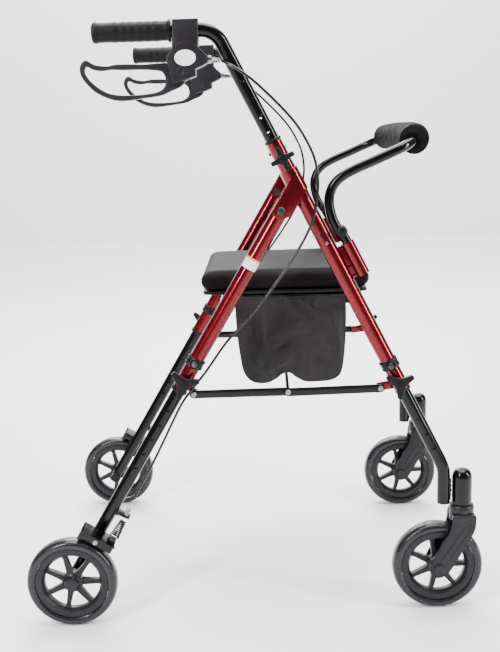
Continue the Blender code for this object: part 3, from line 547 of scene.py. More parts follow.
class WALKER_OT_front_frame(bpy.types.Operator):
    """Red front tubes with the fold bracket, the backrest socket and the side bar's lug"""

    bl_idname = "walker.front_frame"
    bl_label = "Front Frame"

    def execute(self, context):
        for word, side in SIDES.items():
            top = at_side(on_front(FRONT_TOP_Z), side)
            post = tube([top, top + DOWN_FRONT * 0.447], TUBE_R, 40, wall=TUBE_R - BORE_R)
            ends = [at_side(on_front(0.7435), side), at_side(on_front(0.7110), side)]
            wrap = tube(ends, TUBE_R + 0.0022, 40, wall=0.002)
            cheek = [
                (0.0700, 0.7285), (0.0790, 0.7430), (0.0950, 0.7120), (0.0860, 0.6950), (0.0700, 0.6720)
            ]
            cheek += arc((HINGE.x, HINGE.z), 0.0135, -50, -178, 10)
            shapes = [post, wrap]
            for face in (1, -1):
                inner = PLANE + face * (TUBE_R + 0.0003)
                cheek_plate = plate([cheek], side * inner, side * (inner + face * 0.002), 0.0005)
                shapes.append(
                    carve(cheek_plate, peg(0.0043, -0.02, 0.02, at_side(HINGE, side), (0, 1, 0), 24))
                )
            lug = [
                on_front(0.405) - OUT_FRONT * 0.0114, BAR_FRONT + Vector((-0.006, 0, 0.007)),
                BAR_FRONT + Vector((-0.006, 0, -0.007)), on_front(0.391) - OUT_FRONT * 0.0114
            ]
            shapes.append(plate([side_view(lug)], side * LUG_FACES[0], side * LUG_FACES[1], 0.0005))
            mouth = at_side(on_front(SOCKET_Z) + OUT_FRONT * SOCKET_OFFSET, side)
            shapes.append(tube([mouth, mouth + DOWN_FRONT * 0.058], 0.0108, 32, wall=0.0022))
            web = [
                on_front(SOCKET_Z, along) + OUT_FRONT * reach
                for along, reach in ((0, 0.0118), (0, 0.022), (0.056, 0.022), (0.056, 0.0118))
            ]
            shapes.append(plate([side_view(web)], side * (PLANE - 0.004), side * (PLANE + 0.004), 0.0012))
            for along in (0.004, 0.018, 0.036, 0.052):
                for face in (-0.0042, 0.0042):
                    start = on_front(SOCKET_Z, along) + OUT_FRONT * 0.0122
                    shapes.append(
                        bead(
                            [
                                at_side(start, side, PLANE + face),
                                at_side(start + OUT_FRONT * 0.0040, side, PLANE + face * 1.1),
                                at_side(start + OUT_FRONT * 0.0080, side, PLANE + face * 1.2)
                            ], 0.0015
                        )
                    )
            for z in (0.7440, 0.7105):
                ring = []
                for k in range(13):
                    turn = math.radians(-100 + 200 * k / 12)
                    spot = at_side(on_front(z), side) + OUT_FRONT * math.cos(turn) * 0.0137
                    ring.append(spot + Vector((0, side * math.sin(turn) * 0.0137, 0)))
                shapes.append(bead(ring, 0.0011))
            seam = [
                at_side(on_front(0.7100, along) + OUT_FRONT * 0.0080, side, PLANE + 0.0118)
                for along in (0.002, 0.008, 0.014)
            ]
            shapes.append(bead(seam, 0.0015))
            finished(
                join(*shapes), "front_post_" + word, "front_frame", "red_paint",
                stands_for="front_frame_" + word
            )
            rim = turned(
                [(0.0114, 0), (0.0135, 0), (0.0135, 0.0035), (0.0128, 0.0048), (0.0114, 0.0048)],
                top + DOWN_FRONT * 0.4473, DOWN_FRONT, 40, ring=True
            )
            finished(rim, "front_bush_" + word, "front_frame", "grey_plastic", "black_plastic")
            slit = [
                on_front(0.645) + OUT_FRONT * 0.003, on_front(0.645) - OUT_FRONT * 0.003,
                on_front(0.6385) - OUT_FRONT * 0.003, on_front(0.6385) + OUT_FRONT * 0.003
            ]
            hole = plate([side_view(slit)], side * (PLANE + 0.0121), side * (PLANE + 0.0129), 0.0002)
            finished(hole, "clip_hole_" + word, "front_frame", "grey_plastic", "black_plastic")
            rivet = screw(at_side(on_front(0.629), side, PLANE + 0.0126), (0, side, 0), 0.0026, 0.0012)
            finished(rivet, "socket_rivet_" + word, "front_frame", "steel")
            bolts = [screw(at_side(HINGE, side, PLANE + 0.0150), (0, side, 0), 0.0064, 0.0028)]
            outer = TUBE_R + 0.0026
            shank = [
                (0, -outer - 0.004), (0.0062, -outer - 0.004), (0.0062, -outer), (0.0040, -outer),
                (0.0040, outer), (0, outer)
            ]
            bolts.append(turned(shank, at_side(HINGE, side), (0, side, 0), 32))
            finished(
                join(*bolts), "hinge_screw_" + word, "front_frame", "steel", "dark_steel",
                "hinge_bolt_" + word
            )
        return {"FINISHED"}


class WALKER_OT_rear_frame(bpy.types.Operator):
    """Red rear tubes with their lugs, end bushes and the plain label"""

    bl_idname = "walker.rear_frame"
    bl_label = "Rear Frame"

    def execute(self, context):
        for word, side in SIDES.items():
            top = at_side(HINGE, side) - DOWN_REAR * 0.014
            end = at_side(on_rear(REAR_END_Z), side)
            post = tube([top, end], TUBE_R, 40, wall=TUBE_R - BORE_R)
            carve(post, peg(0.0043, -0.02, 0.02, at_side(HINGE, side), (0, 1, 0), 24))
            lug = [
                on_rear(0.404) + OUT_REAR * 0.0114, BAR_REAR + Vector((0.007, 0, 0.007)),
                BAR_REAR + Vector((0.007, 0, -0.007)), on_rear(0.398) + OUT_REAR * 0.0114
            ]
            tab = plate([side_view(lug)], side * LUG_FACES[0], side * LUG_FACES[1], 0.0005)
            seam = bead(
                [
                    at_side(on_rear(0.404, along) + OUT_REAR * 0.0105, side, PLANE - 0.0062)
                    for along in (0, 0.004, 0.008)
                ], 0.0014
            )
            finished(
                join(post, tab, seam), "rear_post_" + word, "rear_frame", "red_paint",
                stands_for="rear_tube_" + word
            )
            rim = turned(
                [(0.0114, 0), (0.0138, 0), (0.0138, 0.0040), (0.0130, 0.0060), (0.0114, 0.0060)],
                end + DOWN_REAR * 0.0003, DOWN_REAR, 40, ring=True
            )
            finished(rim, "rear_bush_" + word, "rear_frame", "grey_plastic", "black_plastic")
        for low, high, slot, name in (
            (0.000, 0.0035, "orange_label", "label_head"), (0.0036, 0.0190, "white_label", "label_body")
        ):
            path = [at_side(on_rear(0.608, along), -1) for along in (low, high)]
            patch = tube(path, TUBE_R + 0.00015, 48, wall=0.0001)
            bpy.ops.object.mode_set(mode="EDIT")
            bpy.ops.mesh.select_all(action="SELECT")
            bpy.ops.mesh.bisect(
                plane_co=(path[0].x, -PLANE - 0.0050, path[0].z), plane_no=(0, 1, 0), clear_outer=True,
                use_fill=True
            )
            bpy.ops.object.mode_set(mode="OBJECT")
            finished(patch, name, "rear_frame", "red_paint", slot)
        return {"FINISHED"}


class WALKER_OT_cross_tubes(bpy.types.Operator):
    """Black cross tubes that carry the seat and the bag"""

    bl_idname = "walker.cross_tubes"
    bl_label = "Cross Tubes"

    def execute(self, context):
        half = PLANE - TUBE_R - 0.0004
        for name, centre, body in (
            ("front_cross", on_front(CROSS_Z), "front_frame"),
            ("rear_cross", on_rear(CROSS_Z), "rear_frame")
        ):
            bar = tube([at_side(centre, -1, half), at_side(centre, 1, half)], 0.0095, 36)
            beads = []
            for side in (-1, 1):
                ring = []
                for k in range(17):
                    turn = 2 * math.pi * k / 16
                    ring.append(
                        at_side(centre, side, half - 0.001)
                        + Vector((math.cos(turn), 0, math.sin(turn))) * 0.0098
                    )
                beads.append(bead(ring, 0.0009))
            finished(join(bar, *beads), name, body, "black_paint", stands_for=name + "_tube")
        return {"FINISHED"}


class WALKER_OT_collars(bpy.types.Operator):
    """Plastic collars round the telescopic joints, with their push buttons"""

    bl_idname = "walker.collars"
    bl_label = "Collars and Buttons"

    def execute(self, context):
        rows = (
            ("front", on_front(0.4360), on_front(0.4285), DOWN_FRONT, "front_frame"),
            ("rear", on_rear(0.4465), on_rear(0.440), DOWN_REAR, "rear_frame")
        )
        for word, side in SIDES.items():
            ring = [
                (HANDLE_R + 0.0004, 0), (0.0128, 0), (0.0140, 0.0010), (0.0140, 0.0040), (0.0133, 0.0048),
                (HANDLE_R + 0.0004, 0.0048)
            ]
            cap = turned(ring, at_side(on_front(0.7925), side), DOWN_FRONT, 44, ring=True)
            finished(
                cap, "handle_ring_" + word, "front_frame", "grey_plastic", "black_plastic",
                "handle_collar_" + word
            )
            for name, top, middle, down, body in rows:
                band = [
                    (0.0130, 0), (0.0146, 0), (0.0156, 0.0012), (0.0156, 0.0032), (0.0148, 0.0042),
                    (0.0148, 0.0113), (0.0156, 0.0123), (0.0156, 0.0143), (0.0146, 0.0155), (0.0130, 0.0155)
                ]
                collar = turned(band, at_side(top, side), down, 48, ring=True)
                carve(
                    collar, peg(0.0064, 0, 0.01, at_side(middle, side, PLANE + 0.01285), (0, side, 0), 36)
                )
                well = [
                    (0.0062, 0), (0.0085, 0), (0.0085, 0.0030), (0.0078, 0.0042), (0.0066, 0.0042),
                    (0.0062, 0.0034)
                ]
                boss = turned(well, at_side(middle, side, PLANE + 0.0142), (0, side, 0), 36, ring=True)
                finished(
                    join(collar, boss), f"{name}_band_{word}", body, "grey_plastic", "black_plastic",
                    f"{name}_collar_{word}"
                )
                dome = [
                    (0, 0), (0.0056, 0), (0.0056, 0.0026), (0.0048, 0.0040), (0.0026, 0.0047),
                    (0.0020, 0.0041), (0, 0.0039)
                ]
                press = turned(dome, at_side(middle, side, PLANE + 0.0162), (0, side, 0), 32)
                finished(
                    press, f"{name}_press_{word}", f"{name}_button_{word}", "steel", "dark_steel",
                    f"{name}_button_{word}"
                )
        return {"FINISHED"}


def knob_outline(arms, reach, waist, heading, width):
    """Outline of a hand knob with round-ended arms and hollow sides between them."""
    points = []
    for k in range(arms):
        middle = heading + 2 * math.pi * k / arms
        for radius, swing in (
            (reach * 0.93, -width), (reach, -width * 0.5), (reach, width * 0.5), (reach * 0.93, width)
        ):
            points.append((radius * math.cos(middle + swing), 0, radius * math.sin(middle + swing)))
        gap = middle + math.pi / arms
        points.append((waist * math.cos(gap), 0, waist * math.sin(gap)))
    return side_view(smooth_path(points, 7, closed=True))


class WALKER_OT_knobs(bpy.types.Operator):
    """Clamping knobs of the handles and the legs"""

    bl_idname = "walker.knobs"
    bl_label = "Knobs"

    def execute(self, context):
        lean = math.atan2(DOWN_FRONT.z, DOWN_FRONT.x)
        rows = (
            ("handle_knob_", on_front(0.7625), 4, 0.0196, 0.0082, lean, 0.19),
            ("front_knob_", on_front(0.400), 3, 0.0246, 0.0100, math.radians(30), 0.17),
            ("rear_knob_", on_rear(0.4085), 3, 0.0260, 0.0105, math.radians(10), 0.17),
        )
        face = PLANE + TUBE_R
        for word, side in SIDES.items():
            for name, centre, arms, reach, waist, heading, width in rows:
                outline = [
                    (centre.x + x, centre.z + z)
                    for x, z in knob_outline(arms, reach, waist, heading, width)
                ]
                wheel = plate([outline], side * (face + 0.0056), side * (face + 0.0154), 0.0022, 4)
                boss = [(0, 0.0004), (0.0074, 0.0004), (0.0074, 0.0060), (0.0088, 0.0075), (0, 0.0075)]
                crown = [
                    (0, 0.0150), (0.0062, 0.0150), (0.0062, 0.0160), (0.0050, 0.0166), (0.0036, 0.0166),
                    (0.0030, 0.0158), (0, 0.0157)
                ]
                parts = [wheel] + [
                    turned(shape, at_side(centre, side, face), (0, side, 0), 32) for shape in (boss, crown)
                ]
                finished(
                    join(*parts), name + "grip_" + word, name + word, "grey_plastic", "black_plastic",
                    name + word
                )
        return {"FINISHED"}


class WALKER_OT_side_bars(bpy.types.Operator):
    """Folding side bars, their rivets and the cross rod between them"""

    bl_idname = "walker.side_bars"
    bl_label = "Side Bars"

    def execute(self, context):
        rear = [tube([at_side(BAR_MIDDLE, -1, 0.2250), at_side(BAR_MIDDLE, 1, 0.2250)], 0.0030, 24)]
        front = []
        for word, side in SIDES.items():
            flat = oblong((BAR_FRONT.x, BAR_FRONT.z), (BAR_MIDDLE.x, BAR_MIDDLE.z), 0.0068)
            front.append(plate([flat], side * 0.2274, side * 0.2312, 0.0008))
            flat = oblong((BAR_REAR.x, BAR_REAR.z), (BAR_MIDDLE.x, BAR_MIDDLE.z), 0.0068)
            rear.append(plate([flat], side * 0.2230, side * 0.2268, 0.0008))
            heads = [
                screw(at_side(spot, side, 0.2312), (0, side, 0), 0.0044, 0.0019)
                for spot in (BAR_FRONT, BAR_MIDDLE)
            ]
            finished(join(*heads), "bar_rivets_" + word, "front_bars", "steel")
            head = screw(at_side(BAR_REAR, side, 0.2268), (0, side, 0), 0.0044, 0.0019)
            finished(head, "rear_bar_rivet_" + word, "rear_bars", "steel")
        finished(
            join(*front), "front_side_bars", "front_bars", "black_paint",
            stands_for=("front_bar_left", "front_bar_right")
        )
        finished(join(*rear), "rear_side_bars", "rear_bars", "black_paint", stands_for="rear_bars_and_rod")
        return {"FINISHED"}


def bored(shape, centres, radius, side, depths=((-0.02, 0.02),)):
    """Drills a row of adjustment holes into a tube, right through or to given depths."""
    for centre in centres:
        for low, high in depths:
            carve(shape, peg(radius, low, high, at_side(centre, side), (0, 1, 0)))
    return shape


class WALKER_OT_legs(bpy.types.Operator):
    """Black telescopic legs, with the caster sleeve in front and the brake's arm and axle behind"""

    bl_idname = "walker.legs"
    bl_label = "Legs"

    def execute(self, context):
        for word, side in SIDES.items():
            bend = Vector((0.3155, 0, 0.2515))
            path = [on_front(FRONT_END_Z, -0.105), on_front(FRONT_END_Z), bend - DOWN_FRONT * 0.020]
            path += smooth_path(
                [
                    bend - DOWN_FRONT * 0.012, bend + Vector((0.0004, 0, -0.004)),
                    Vector((0.3174, 0, 0.234)), Vector((0.3175, 0, 0.222))
                ], 5
            )
            path.append(Vector((0.3175, 0, 0.186)))
            leg = tube([at_side(p, side) for p in path], LEG_R, 36)
            bored(leg, [on_front(0.337, HOLE_PITCH * k) for k in range(3)], 0.0030, side, BLIND_HOLES)
            sleeve = [
                (0, 0.001), (0.0157, 0.001), (0.0165, 0.0018), (0.0165, 0.046), (0.0161, 0.050),
                (0.0146, 0.055), (0.0122, 0.0585), (0.0080, 0.0608), (0, 0.0615)
            ]
            shapes = [leg, turned(sleeve, at_side(STEM, side), (0, 0, 1), 56)]
            for face in (-1, 1):
                seam = [(0.3262, 0.1930), (0.3268, 0.2050), (0.3268, 0.2180), (0.3266, 0.2320)]
                shapes.append(bead([(x, side * PLANE + face * 0.0060, z) for x, z in seam], 0.0024))
            finished(
                join(*shapes), "front_leg_tube_" + word, "front_leg_" + word, "black_paint",
                stands_for="front_leg_" + word
            )
            leg = tube(
                [at_side(on_rear(REAR_END_Z, -0.105), side), at_side(on_rear(0.0665), side)], LEG_R, 36
            )
            bored(leg, [on_rear(0.362, HOLE_PITCH * k) for k in range(5)], 0.0030, side, BLIND_HOLES)
            arm = [
                on_rear(0.149, -0.050) + OUT_REAR * 0.008, on_rear(0.149, -0.050) + OUT_REAR * 0.033,
                on_rear(0.149, -0.045) + OUT_REAR * 0.033, on_rear(0.149, -0.043) + OUT_REAR * 0.008
            ]
            shapes = [leg, plate([side_view(arm)], side * (PLANE - 0.006), side * (PLANE + 0.008), 0.0008)]
            shapes.append(
                bead(
                    [
                        at_side(on_rear(0.149, -0.0425) + OUT_REAR * 0.0112, side, PLANE + y)
                        for y in (-0.005, 0.001, 0.007)
                    ], 0.0014
                )
            )
            foot = at_side(on_rear(0.0665), side)
            shapes.append(
                turned(
                    [
                        (0, 0), (LEG_R, 0), (LEG_R + 0.0006, 0.0006), (LEG_R + 0.0006, 0.003),
                        (LEG_R, 0.0036), (0, 0.0036)
                    ], foot - DOWN_REAR * 0.0036, DOWN_REAR, 40
                )
            )
            finished(
                join(*shapes), "rear_leg_tube_" + word, "rear_leg_" + word, "black_paint",
                stands_for="rear_leg_" + word
            )
            axle = turned(
                [(0, -0.0148), (0.0085, -0.0148), (0.0100, -0.0136), (0.0100, -0.0098), (0, -0.0098)],
                at_side(REAR_HUB, side), (0, side, 0), 36
            )
            finished(axle, "axle_nut_" + word, "rear_leg_" + word, "steel", "black_plastic")
            nipples = []
            for along, rise in ((0.0250, 0.0490), (0.0250, 0.0565)):
                spot = at_side(BRAKE_BOLT + OUT_REAR * along - DOWN_REAR * rise, side, 0.2290)
                nipples.append(
                    turned(
                        [
                            (0, 0), (0.0034, 0), (0.0038, 0.001), (0.0038, 0.0048), (0.0026, 0.0066),
                            (0, 0.0068)
                        ], spot, -DOWN_REAR, 28
                    )
                )
            finished(join(*nipples), "cable_nipples_" + word, "rear_leg_" + word, "steel")
        return {"FINISHED"}


def hub_window(hub, spokes, spoke):
    """Outline of the opening between two spokes, with round corners."""
    pitch = 2 * math.pi / spokes
    middle = pitch * (spoke + 0.5)
    half = pitch * 0.5
    corners = (
        (0.0175, half * 0.22), (0.0195, half * 0.42), (0.0270, half * 0.64), (0.0370, half * 0.77),
        (0.0440, half * 0.82), (0.0474, half * 0.72), (0.0482, half * 0.36)
    )
    ring = [(r, middle + s) for r, s in corners] + [(r, middle - s) for r, s in corners[::-1]]
    points = [(hub.x + r * math.cos(a), 0, hub.z + r * math.sin(a)) for r, a in ring]
    return side_view(smooth_path(points, 4, closed=True))


def wheel(kind, word, side, hub, y):
    """A tyre and a rim with ridged spokes and a hub cap."""
    spokes = bpy.context.scene.walker_sizes.spokes
    body = f"{kind}_wheel_{word}"
    place_at = at_side(hub, side, y)
    outer = [
        (0.0619, -0.0122), (0.0640, -0.0136), (0.0675, -0.0144), (0.0705, -0.0143), (0.0728, -0.0128),
        (0.0747, -0.0098), (0.0757, -0.0058), (0.0760, -0.0018)
    ]
    profile = outer + [(r, -h) for r, h in outer[::-1]]
    tyre = turned(profile, place_at, (0, 1, 0), 112, ring=True)
    finished(tyre, f"{kind}_tread_{word}", body, "tyre_rubber", stands_for=f"{kind}_tyre_{word}")
    rim = [
        (0.0466, -0.0042), (0.0482, -0.0060), (0.0500, -0.0100), (0.0512, -0.0113), (0.0560, -0.0117),
        (0.0606, -0.0113), (0.0614, -0.0104)
    ]
    shapes = [turned(rim + [(r, -h) for r, h in rim[::-1]], place_at, (0, 1, 0), 96, ring=True)]
    disc = plate(
        [arc((hub.x, hub.z), 0.0495, 0, 360, 96)[:-1]], place_at.y - 0.0052, place_at.y + 0.0052, 0.0004
    )
    carve(
        disc,
        *[plate([hub_window(hub, spokes, k)], place_at.y - 0.02, place_at.y + 0.02) for k in range(spokes)]
    )
    shapes.append(
        modify(disc, "BEVEL", width=0.0012, segments=2, limit_method="ANGLE", angle_limit=math.radians(50))
    )
    boss = [
        (0, 0.0160), (0.0086, 0.0160), (0.0104, 0.0152), (0.0114, 0.0130), (0.0120, 0.0090),
        (0.0150, 0.0058), (0.0176, 0.0044)
    ]
    shapes.append(turned(boss + [(r, -h) for r, h in boss[::-1]], place_at, (0, 1, 0), 56))
    if kind == "rear":
        inner = [
            (0, 0.0155), (0.0105, 0.0155), (0.0110, 0.0165), (0.0110, 0.0230), (0.0100, 0.0238), (0, 0.0238)
        ]
        shapes.append(turned(inner, place_at, (0, -side, 0), 40))
    for face in (-1, 1):
        for k in range(spokes):
            angle = 2 * math.pi * k / spokes
            out = Vector((math.cos(angle), 0, math.sin(angle)))
            ridge = [
                place_at + out * r + Vector((0, face * h, 0))
                for r, h in (
                    (0.0130, 0.0080), (0.0180, 0.0056), (0.0440, 0.0054), (0.0490, 0.0090),
                    (0.0520, 0.0112), (0.0600, 0.0114)
                )
            ]
            shapes.append(tube(smooth_path(ridge, 3), 0.0007, 8))
        cap = [
            (0, 0.0158), (0.0070, 0.0158), (0.0074, 0.0163), (0.0070, 0.0168), (0.0045, 0.0171), (0, 0.0172)
        ]
        if kind == "rear" and face == side:
            shapes.append(turned(cap, place_at, (0, face, 0), 32))
    finished(join(*shapes), f"{kind}_hub_{word}", body, "grey_plastic", stands_for=f"{kind}_rim_{word}")


class WALKER_OT_wheels(bpy.types.Operator):
    """Tyres and spoked rims of the four wheels"""

    bl_idname = "walker.wheels"
    bl_label = "Wheels"

    def execute(self, context):
        for word, side in SIDES.items():
            wheel("caster", word, side, CASTER_HUB, PLANE)
            wheel("rear", word, side, REAR_HUB, REAR_WHEEL_Y)
        return {"FINISHED"}


class WALKER_OT_forks(bpy.types.Operator):
    """Caster forks, with a raised rim round each arm's slot and an axle cap"""

    bl_idname = "walker.forks"
    bl_label = "Caster Forks"

    def execute(self, context):
        outline = [
            (0.3310, 0.1700), (0.3490, 0.1702), (0.3670, 0.1700), (0.3685, 0.1600), (0.3670, 0.1450),
            (0.3590, 0.1280), (0.3420, 0.0980), (0.3250, 0.0690), (0.3150, 0.0612), (0.3040, 0.0596),
            (0.2945, 0.0665), (0.2915, 0.0770), (0.2990, 0.0950), (0.3150, 0.1250), (0.3250, 0.1420),
            (0.3290, 0.1560)
        ]
        soft = soft_outline(outline)
        for word, side in SIDES.items():
            y = side * PLANE
            crown = [
                (0, -0.0298), (0.0150, -0.0298), (0.0192, -0.0285), (0.0203, -0.0260), (0.0205, -0.0060),
                (0.0202, -0.0018), (0.0190, -0.0001), (0, -0.0001)
            ]
            shapes = [turned(crown, at_side(STEM, side), (0, 0, 1), 56)]
            bridge = [
                (0.3300, 0.1690), (0.3675, 0.1690), (0.3675, 0.1600), (0.3600, 0.1565), (0.3400, 0.1562),
                (0.3300, 0.1600)
            ]
            shapes.append(plate([bridge], y - 0.0190, y + 0.0190, 0.0012))
            for face in (-1, 1):
                shapes.append(plate([soft], y + face * 0.0186, y + face * 0.0234, 0.0016, 3))
                groove = oblong((0.3555, 0.1480), (0.3155, 0.0870), 0.0052)
                ring = [Vector((x, y + face * 0.0233, z)) for x, z in groove]
                shapes.append(tube(ring, 0.0009, 10, closed=True))
                edge = [Vector((x, y + face * 0.0231, z)) for x, z in soft]
                middle = Vector((0.329, y + face * 0.0231, 0.116))
                shapes.append(
                    tube([p + (middle - p).normalized() * 0.0024 for p in edge], 0.0008, 8, closed=True)
                )
                cap = [
                    (0, 0.0228), (0.0096, 0.0228), (0.0096, 0.0246), (0.0088, 0.0262), (0.0062, 0.0272),
                    (0.0034, 0.0266), (0, 0.0264)
                ]
                shapes.append(turned(cap, at_side(CASTER_HUB, side), (0, face, 0), 40))
            finished(
                join(*shapes), "fork_" + word, "caster_" + word, "grey_plastic",
                stands_for="caster_fork_" + word
            )
        return {"FINISHED"}


def handle_path(side):
    """The handle tube: up from the front tube, round its bend and back along the grip."""
    path = [at_side(p, side) for p in (on_front(FRONT_TOP_Z, 0.12), on_front(FRONT_TOP_Z), on_front(0.875))]
    radius, steps = 0.0365, 14
    start = on_front(0.905)
    centre = start - OUT_FRONT * radius
    bend = []
    for k in range(steps + 1):
        angle = math.atan2(OUT_FRONT.z, OUT_FRONT.x) + (math.pi / 2 - math.atan(0.5)) * k / steps
        y = PLANE + (GRIP_Y - PLANE) * k / steps
        bend.append(
            Vector((centre.x + radius * math.cos(angle), side * y, centre.z + radius * math.sin(angle)))
        )
    lift = GRIP_Z - bend[-1].z
    return path + [p + Vector((-0.5 * lift, 0, lift)) for p in bend] + [
        Vector((-0.219, side * GRIP_Y, GRIP_Z))
    ]


class WALKER_OT_handles(bpy.types.Operator):
    """Handle tubes with their see-through height holes, and the ribbed grips"""

    bl_idname = "walker.handles"
    bl_label = "Handles and Grips"

    def execute(self, context):
        ribs = context.scene.walker_sizes.grip_ribs
        for word, side in SIDES.items():
            body = "handle_" + word
            bar = tube(handle_path(side), HANDLE_R, 36, wall=0.0015)
            bored(bar, [on_front(0.878, HOLE_PITCH * k) for k in range(5)], 0.0033, side)
            finished(bar, "handle_bar_" + word, body, "black_paint", stands_for="handle_tube_" + word)
            inner = HANDLE_R + 0.0003
            shape = [
                (inner, 0.1038), (0.0150, 0.1038), (0.0168, 0.1046), (0.0172, 0.1064), (0.0164, 0.1078),
                (0.0148, 0.1090), (0.0145, 0.1120)
            ]
            for k in range(ribs):
                base = 0.1200 + 0.0125 * k
                shape += [
                    (0.0145, base), (0.0149, base + 0.0025), (0.0153, base + 0.0060),
                    (0.0149, base + 0.0095)
                ]
            shape += [(0.0146, 0.2000), (0.0147, 0.2080)]
            shape += [
                (0.0148, 0.2150), (0.0158, 0.2160), (0.0160, 0.2185), (0.0152, 0.2212), (0.0130, 0.2230),
                (0.0090, 0.2235), (0, 0.2235), (0, 0.2195), (inner, 0.2195)
            ]
            grip = turned(shape, (0, side * GRIP_Y, GRIP_Z), (-1, 0, 0), 64, ring=True)
            finished(grip, "hand_grip_" + word, body, "rubber", stands_for="grip_" + word)
        return {"FINISHED"}


class WALKER_OT_brake_housings(bpy.types.Operator):
    """Brake housings with a plain oval badge, a clamp screw and the cable adjuster"""

    bl_idname = "walker.brake_housings"
    bl_label = "Brake Housings"

    def execute(self, context):
        outline = [
            (-0.1010, 0.9730), (-0.0620, 0.9730), (-0.0618, 0.9500), (-0.0632, 0.9330), (-0.0580, 0.9265),
            (-0.0495, 0.9190), (-0.0493, 0.9092), (-0.0560, 0.9050), (-0.0680, 0.9000), (-0.0682, 0.8895),
            (-0.0850, 0.8838), (-0.1030, 0.8790), (-0.1080, 0.8960), (-0.1125, 0.9180), (-0.1030, 0.9300),
            (-0.1012, 0.9500)
        ]
        for word, side in SIDES.items():
            body = "handle_" + word
            shell = plate([outline], side * (GRIP_Y - 0.0153), side * (GRIP_Y + 0.0153), 0.0024, 4)
            bore = peg(HANDLE_R + 0.0003, 0.04, 0.13, (0, side * GRIP_Y, GRIP_Z), (-1, 0, 0), 48)
            mouth = [(-0.130, 0.860), (-0.0775, 0.860), (-0.0775, 0.9245), (-0.130, 0.9245)]
            carve(shell, bore, plate([mouth], side * GRIP_Y - 0.0068, side * GRIP_Y + 0.0068, 0.0008))
            shapes = [shell]
            for face in (-1, 1):
                y = side * GRIP_Y + face * 0.0152
                rib = smooth_path(
                    [
                        (-0.0975, y, 0.9345), (-0.0860, y, 0.9400), (-0.0740, y, 0.9385),
                        (-0.0665, y, 0.9335)
                    ], 5
                )
                shapes.append(tube(rib, 0.0007, 8))
                pin = [
                    (0, 0), (0.0058, 0), (0.0058, 0.0002), (0.0050, 0.0004), (0.0044, 0.0001), (0, 0.0001)
                ]
                shapes.append(turned(pin, (-0.090, y, 0.897), (0, face, 0), 32))
            finished(
                join(*shapes), "brake_body_" + word, body, "grey_plastic",
                stands_for="brake_housing_" + word
            )
            ring = [
                (-0.0830 + 0.0160 * math.cos(math.radians(a)), 0.9165 + 0.0117 * math.sin(math.radians(a)))
                for a in range(0, 360, 8)
            ]
            badge = plate([ring], side * (GRIP_Y + 0.0151), side * (GRIP_Y + 0.0157), 0.0002)
            finished(badge, "oval_badge_" + word, body, "grey_plastic", "white_label")
            top = screw((-0.0775, side * GRIP_Y, 0.9729), (0, 0, 1), 0.0040, 0.0016)
            finished(top, "clamp_screw_" + word, body, "steel")
            barrel = [
                (0, -0.001), (0.0056, -0.001), (0.0060, 0.0004), (0.0060, 0.0040), (0.0056, 0.0048),
                (0.0040, 0.0048)
            ]
            for k in range(7):
                barrel += [(0.0040, 0.0054 + 0.0012 * k), (0.0045, 0.0059 + 0.0012 * k)]
            barrel += [(0.0036, 0.0142), (0.0036, 0.0165), (0.0029, 0.0188), (0, 0.0188)]
            adjuster = turned(barrel, (-0.0490, side * GRIP_Y, 0.914), (1, 0, -0.12), 32)
            finished(adjuster, "adjuster_" + word, body, "steel")
        return {"FINISHED"}


class WALKER_OT_levers(bpy.types.Operator):
    """Looped brake levers"""

    bl_idname = "walker.levers"
    bl_label = "Brake Levers"

    def execute(self, context):
        outer = [
            (-0.128, 0.9105), (-0.148, 0.9095), (-0.170, 0.9105), (-0.190, 0.9105), (-0.203, 0.9085),
            (-0.214, 0.9095), (-0.224, 0.9120), (-0.2345, 0.9180), (-0.2425, 0.9130), (-0.2450, 0.9020),
            (-0.2395, 0.8880), (-0.2230, 0.8705), (-0.2010, 0.8595), (-0.1800, 0.8562), (-0.1500, 0.8592),
            (-0.1230, 0.8627), (-0.1070, 0.8690), (-0.0905, 0.8762), (-0.0815, 0.8900), (-0.0832, 0.9020),
            (-0.0900, 0.9058), (-0.1080, 0.9105)
        ]
        inner = [
            (-0.121, 0.8980), (-0.139, 0.9010), (-0.160, 0.9020), (-0.180, 0.9020), (-0.197, 0.9030),
            (-0.211, 0.9015), (-0.224, 0.9035), (-0.2345, 0.9085), (-0.2375, 0.9000), (-0.2280, 0.8860),
            (-0.2090, 0.8715), (-0.1920, 0.8660), (-0.1700, 0.8645), (-0.1410, 0.8660), (-0.1240, 0.8700),
            (-0.1160, 0.8780), (-0.1150, 0.8880)
        ]
        loops = [soft_outline(line) for line in (outer, inner)]
        for word, side in SIDES.items():
            loop = plate(loops, side * GRIP_Y - 0.0062, side * GRIP_Y + 0.0062, 0.0024, 4)
            finished(
                loop, "lever_loop_" + word, "brake_lever_" + word, "grey_plastic",
                stands_for="brake_lever_" + word
            )
        return {"FINISHED"}


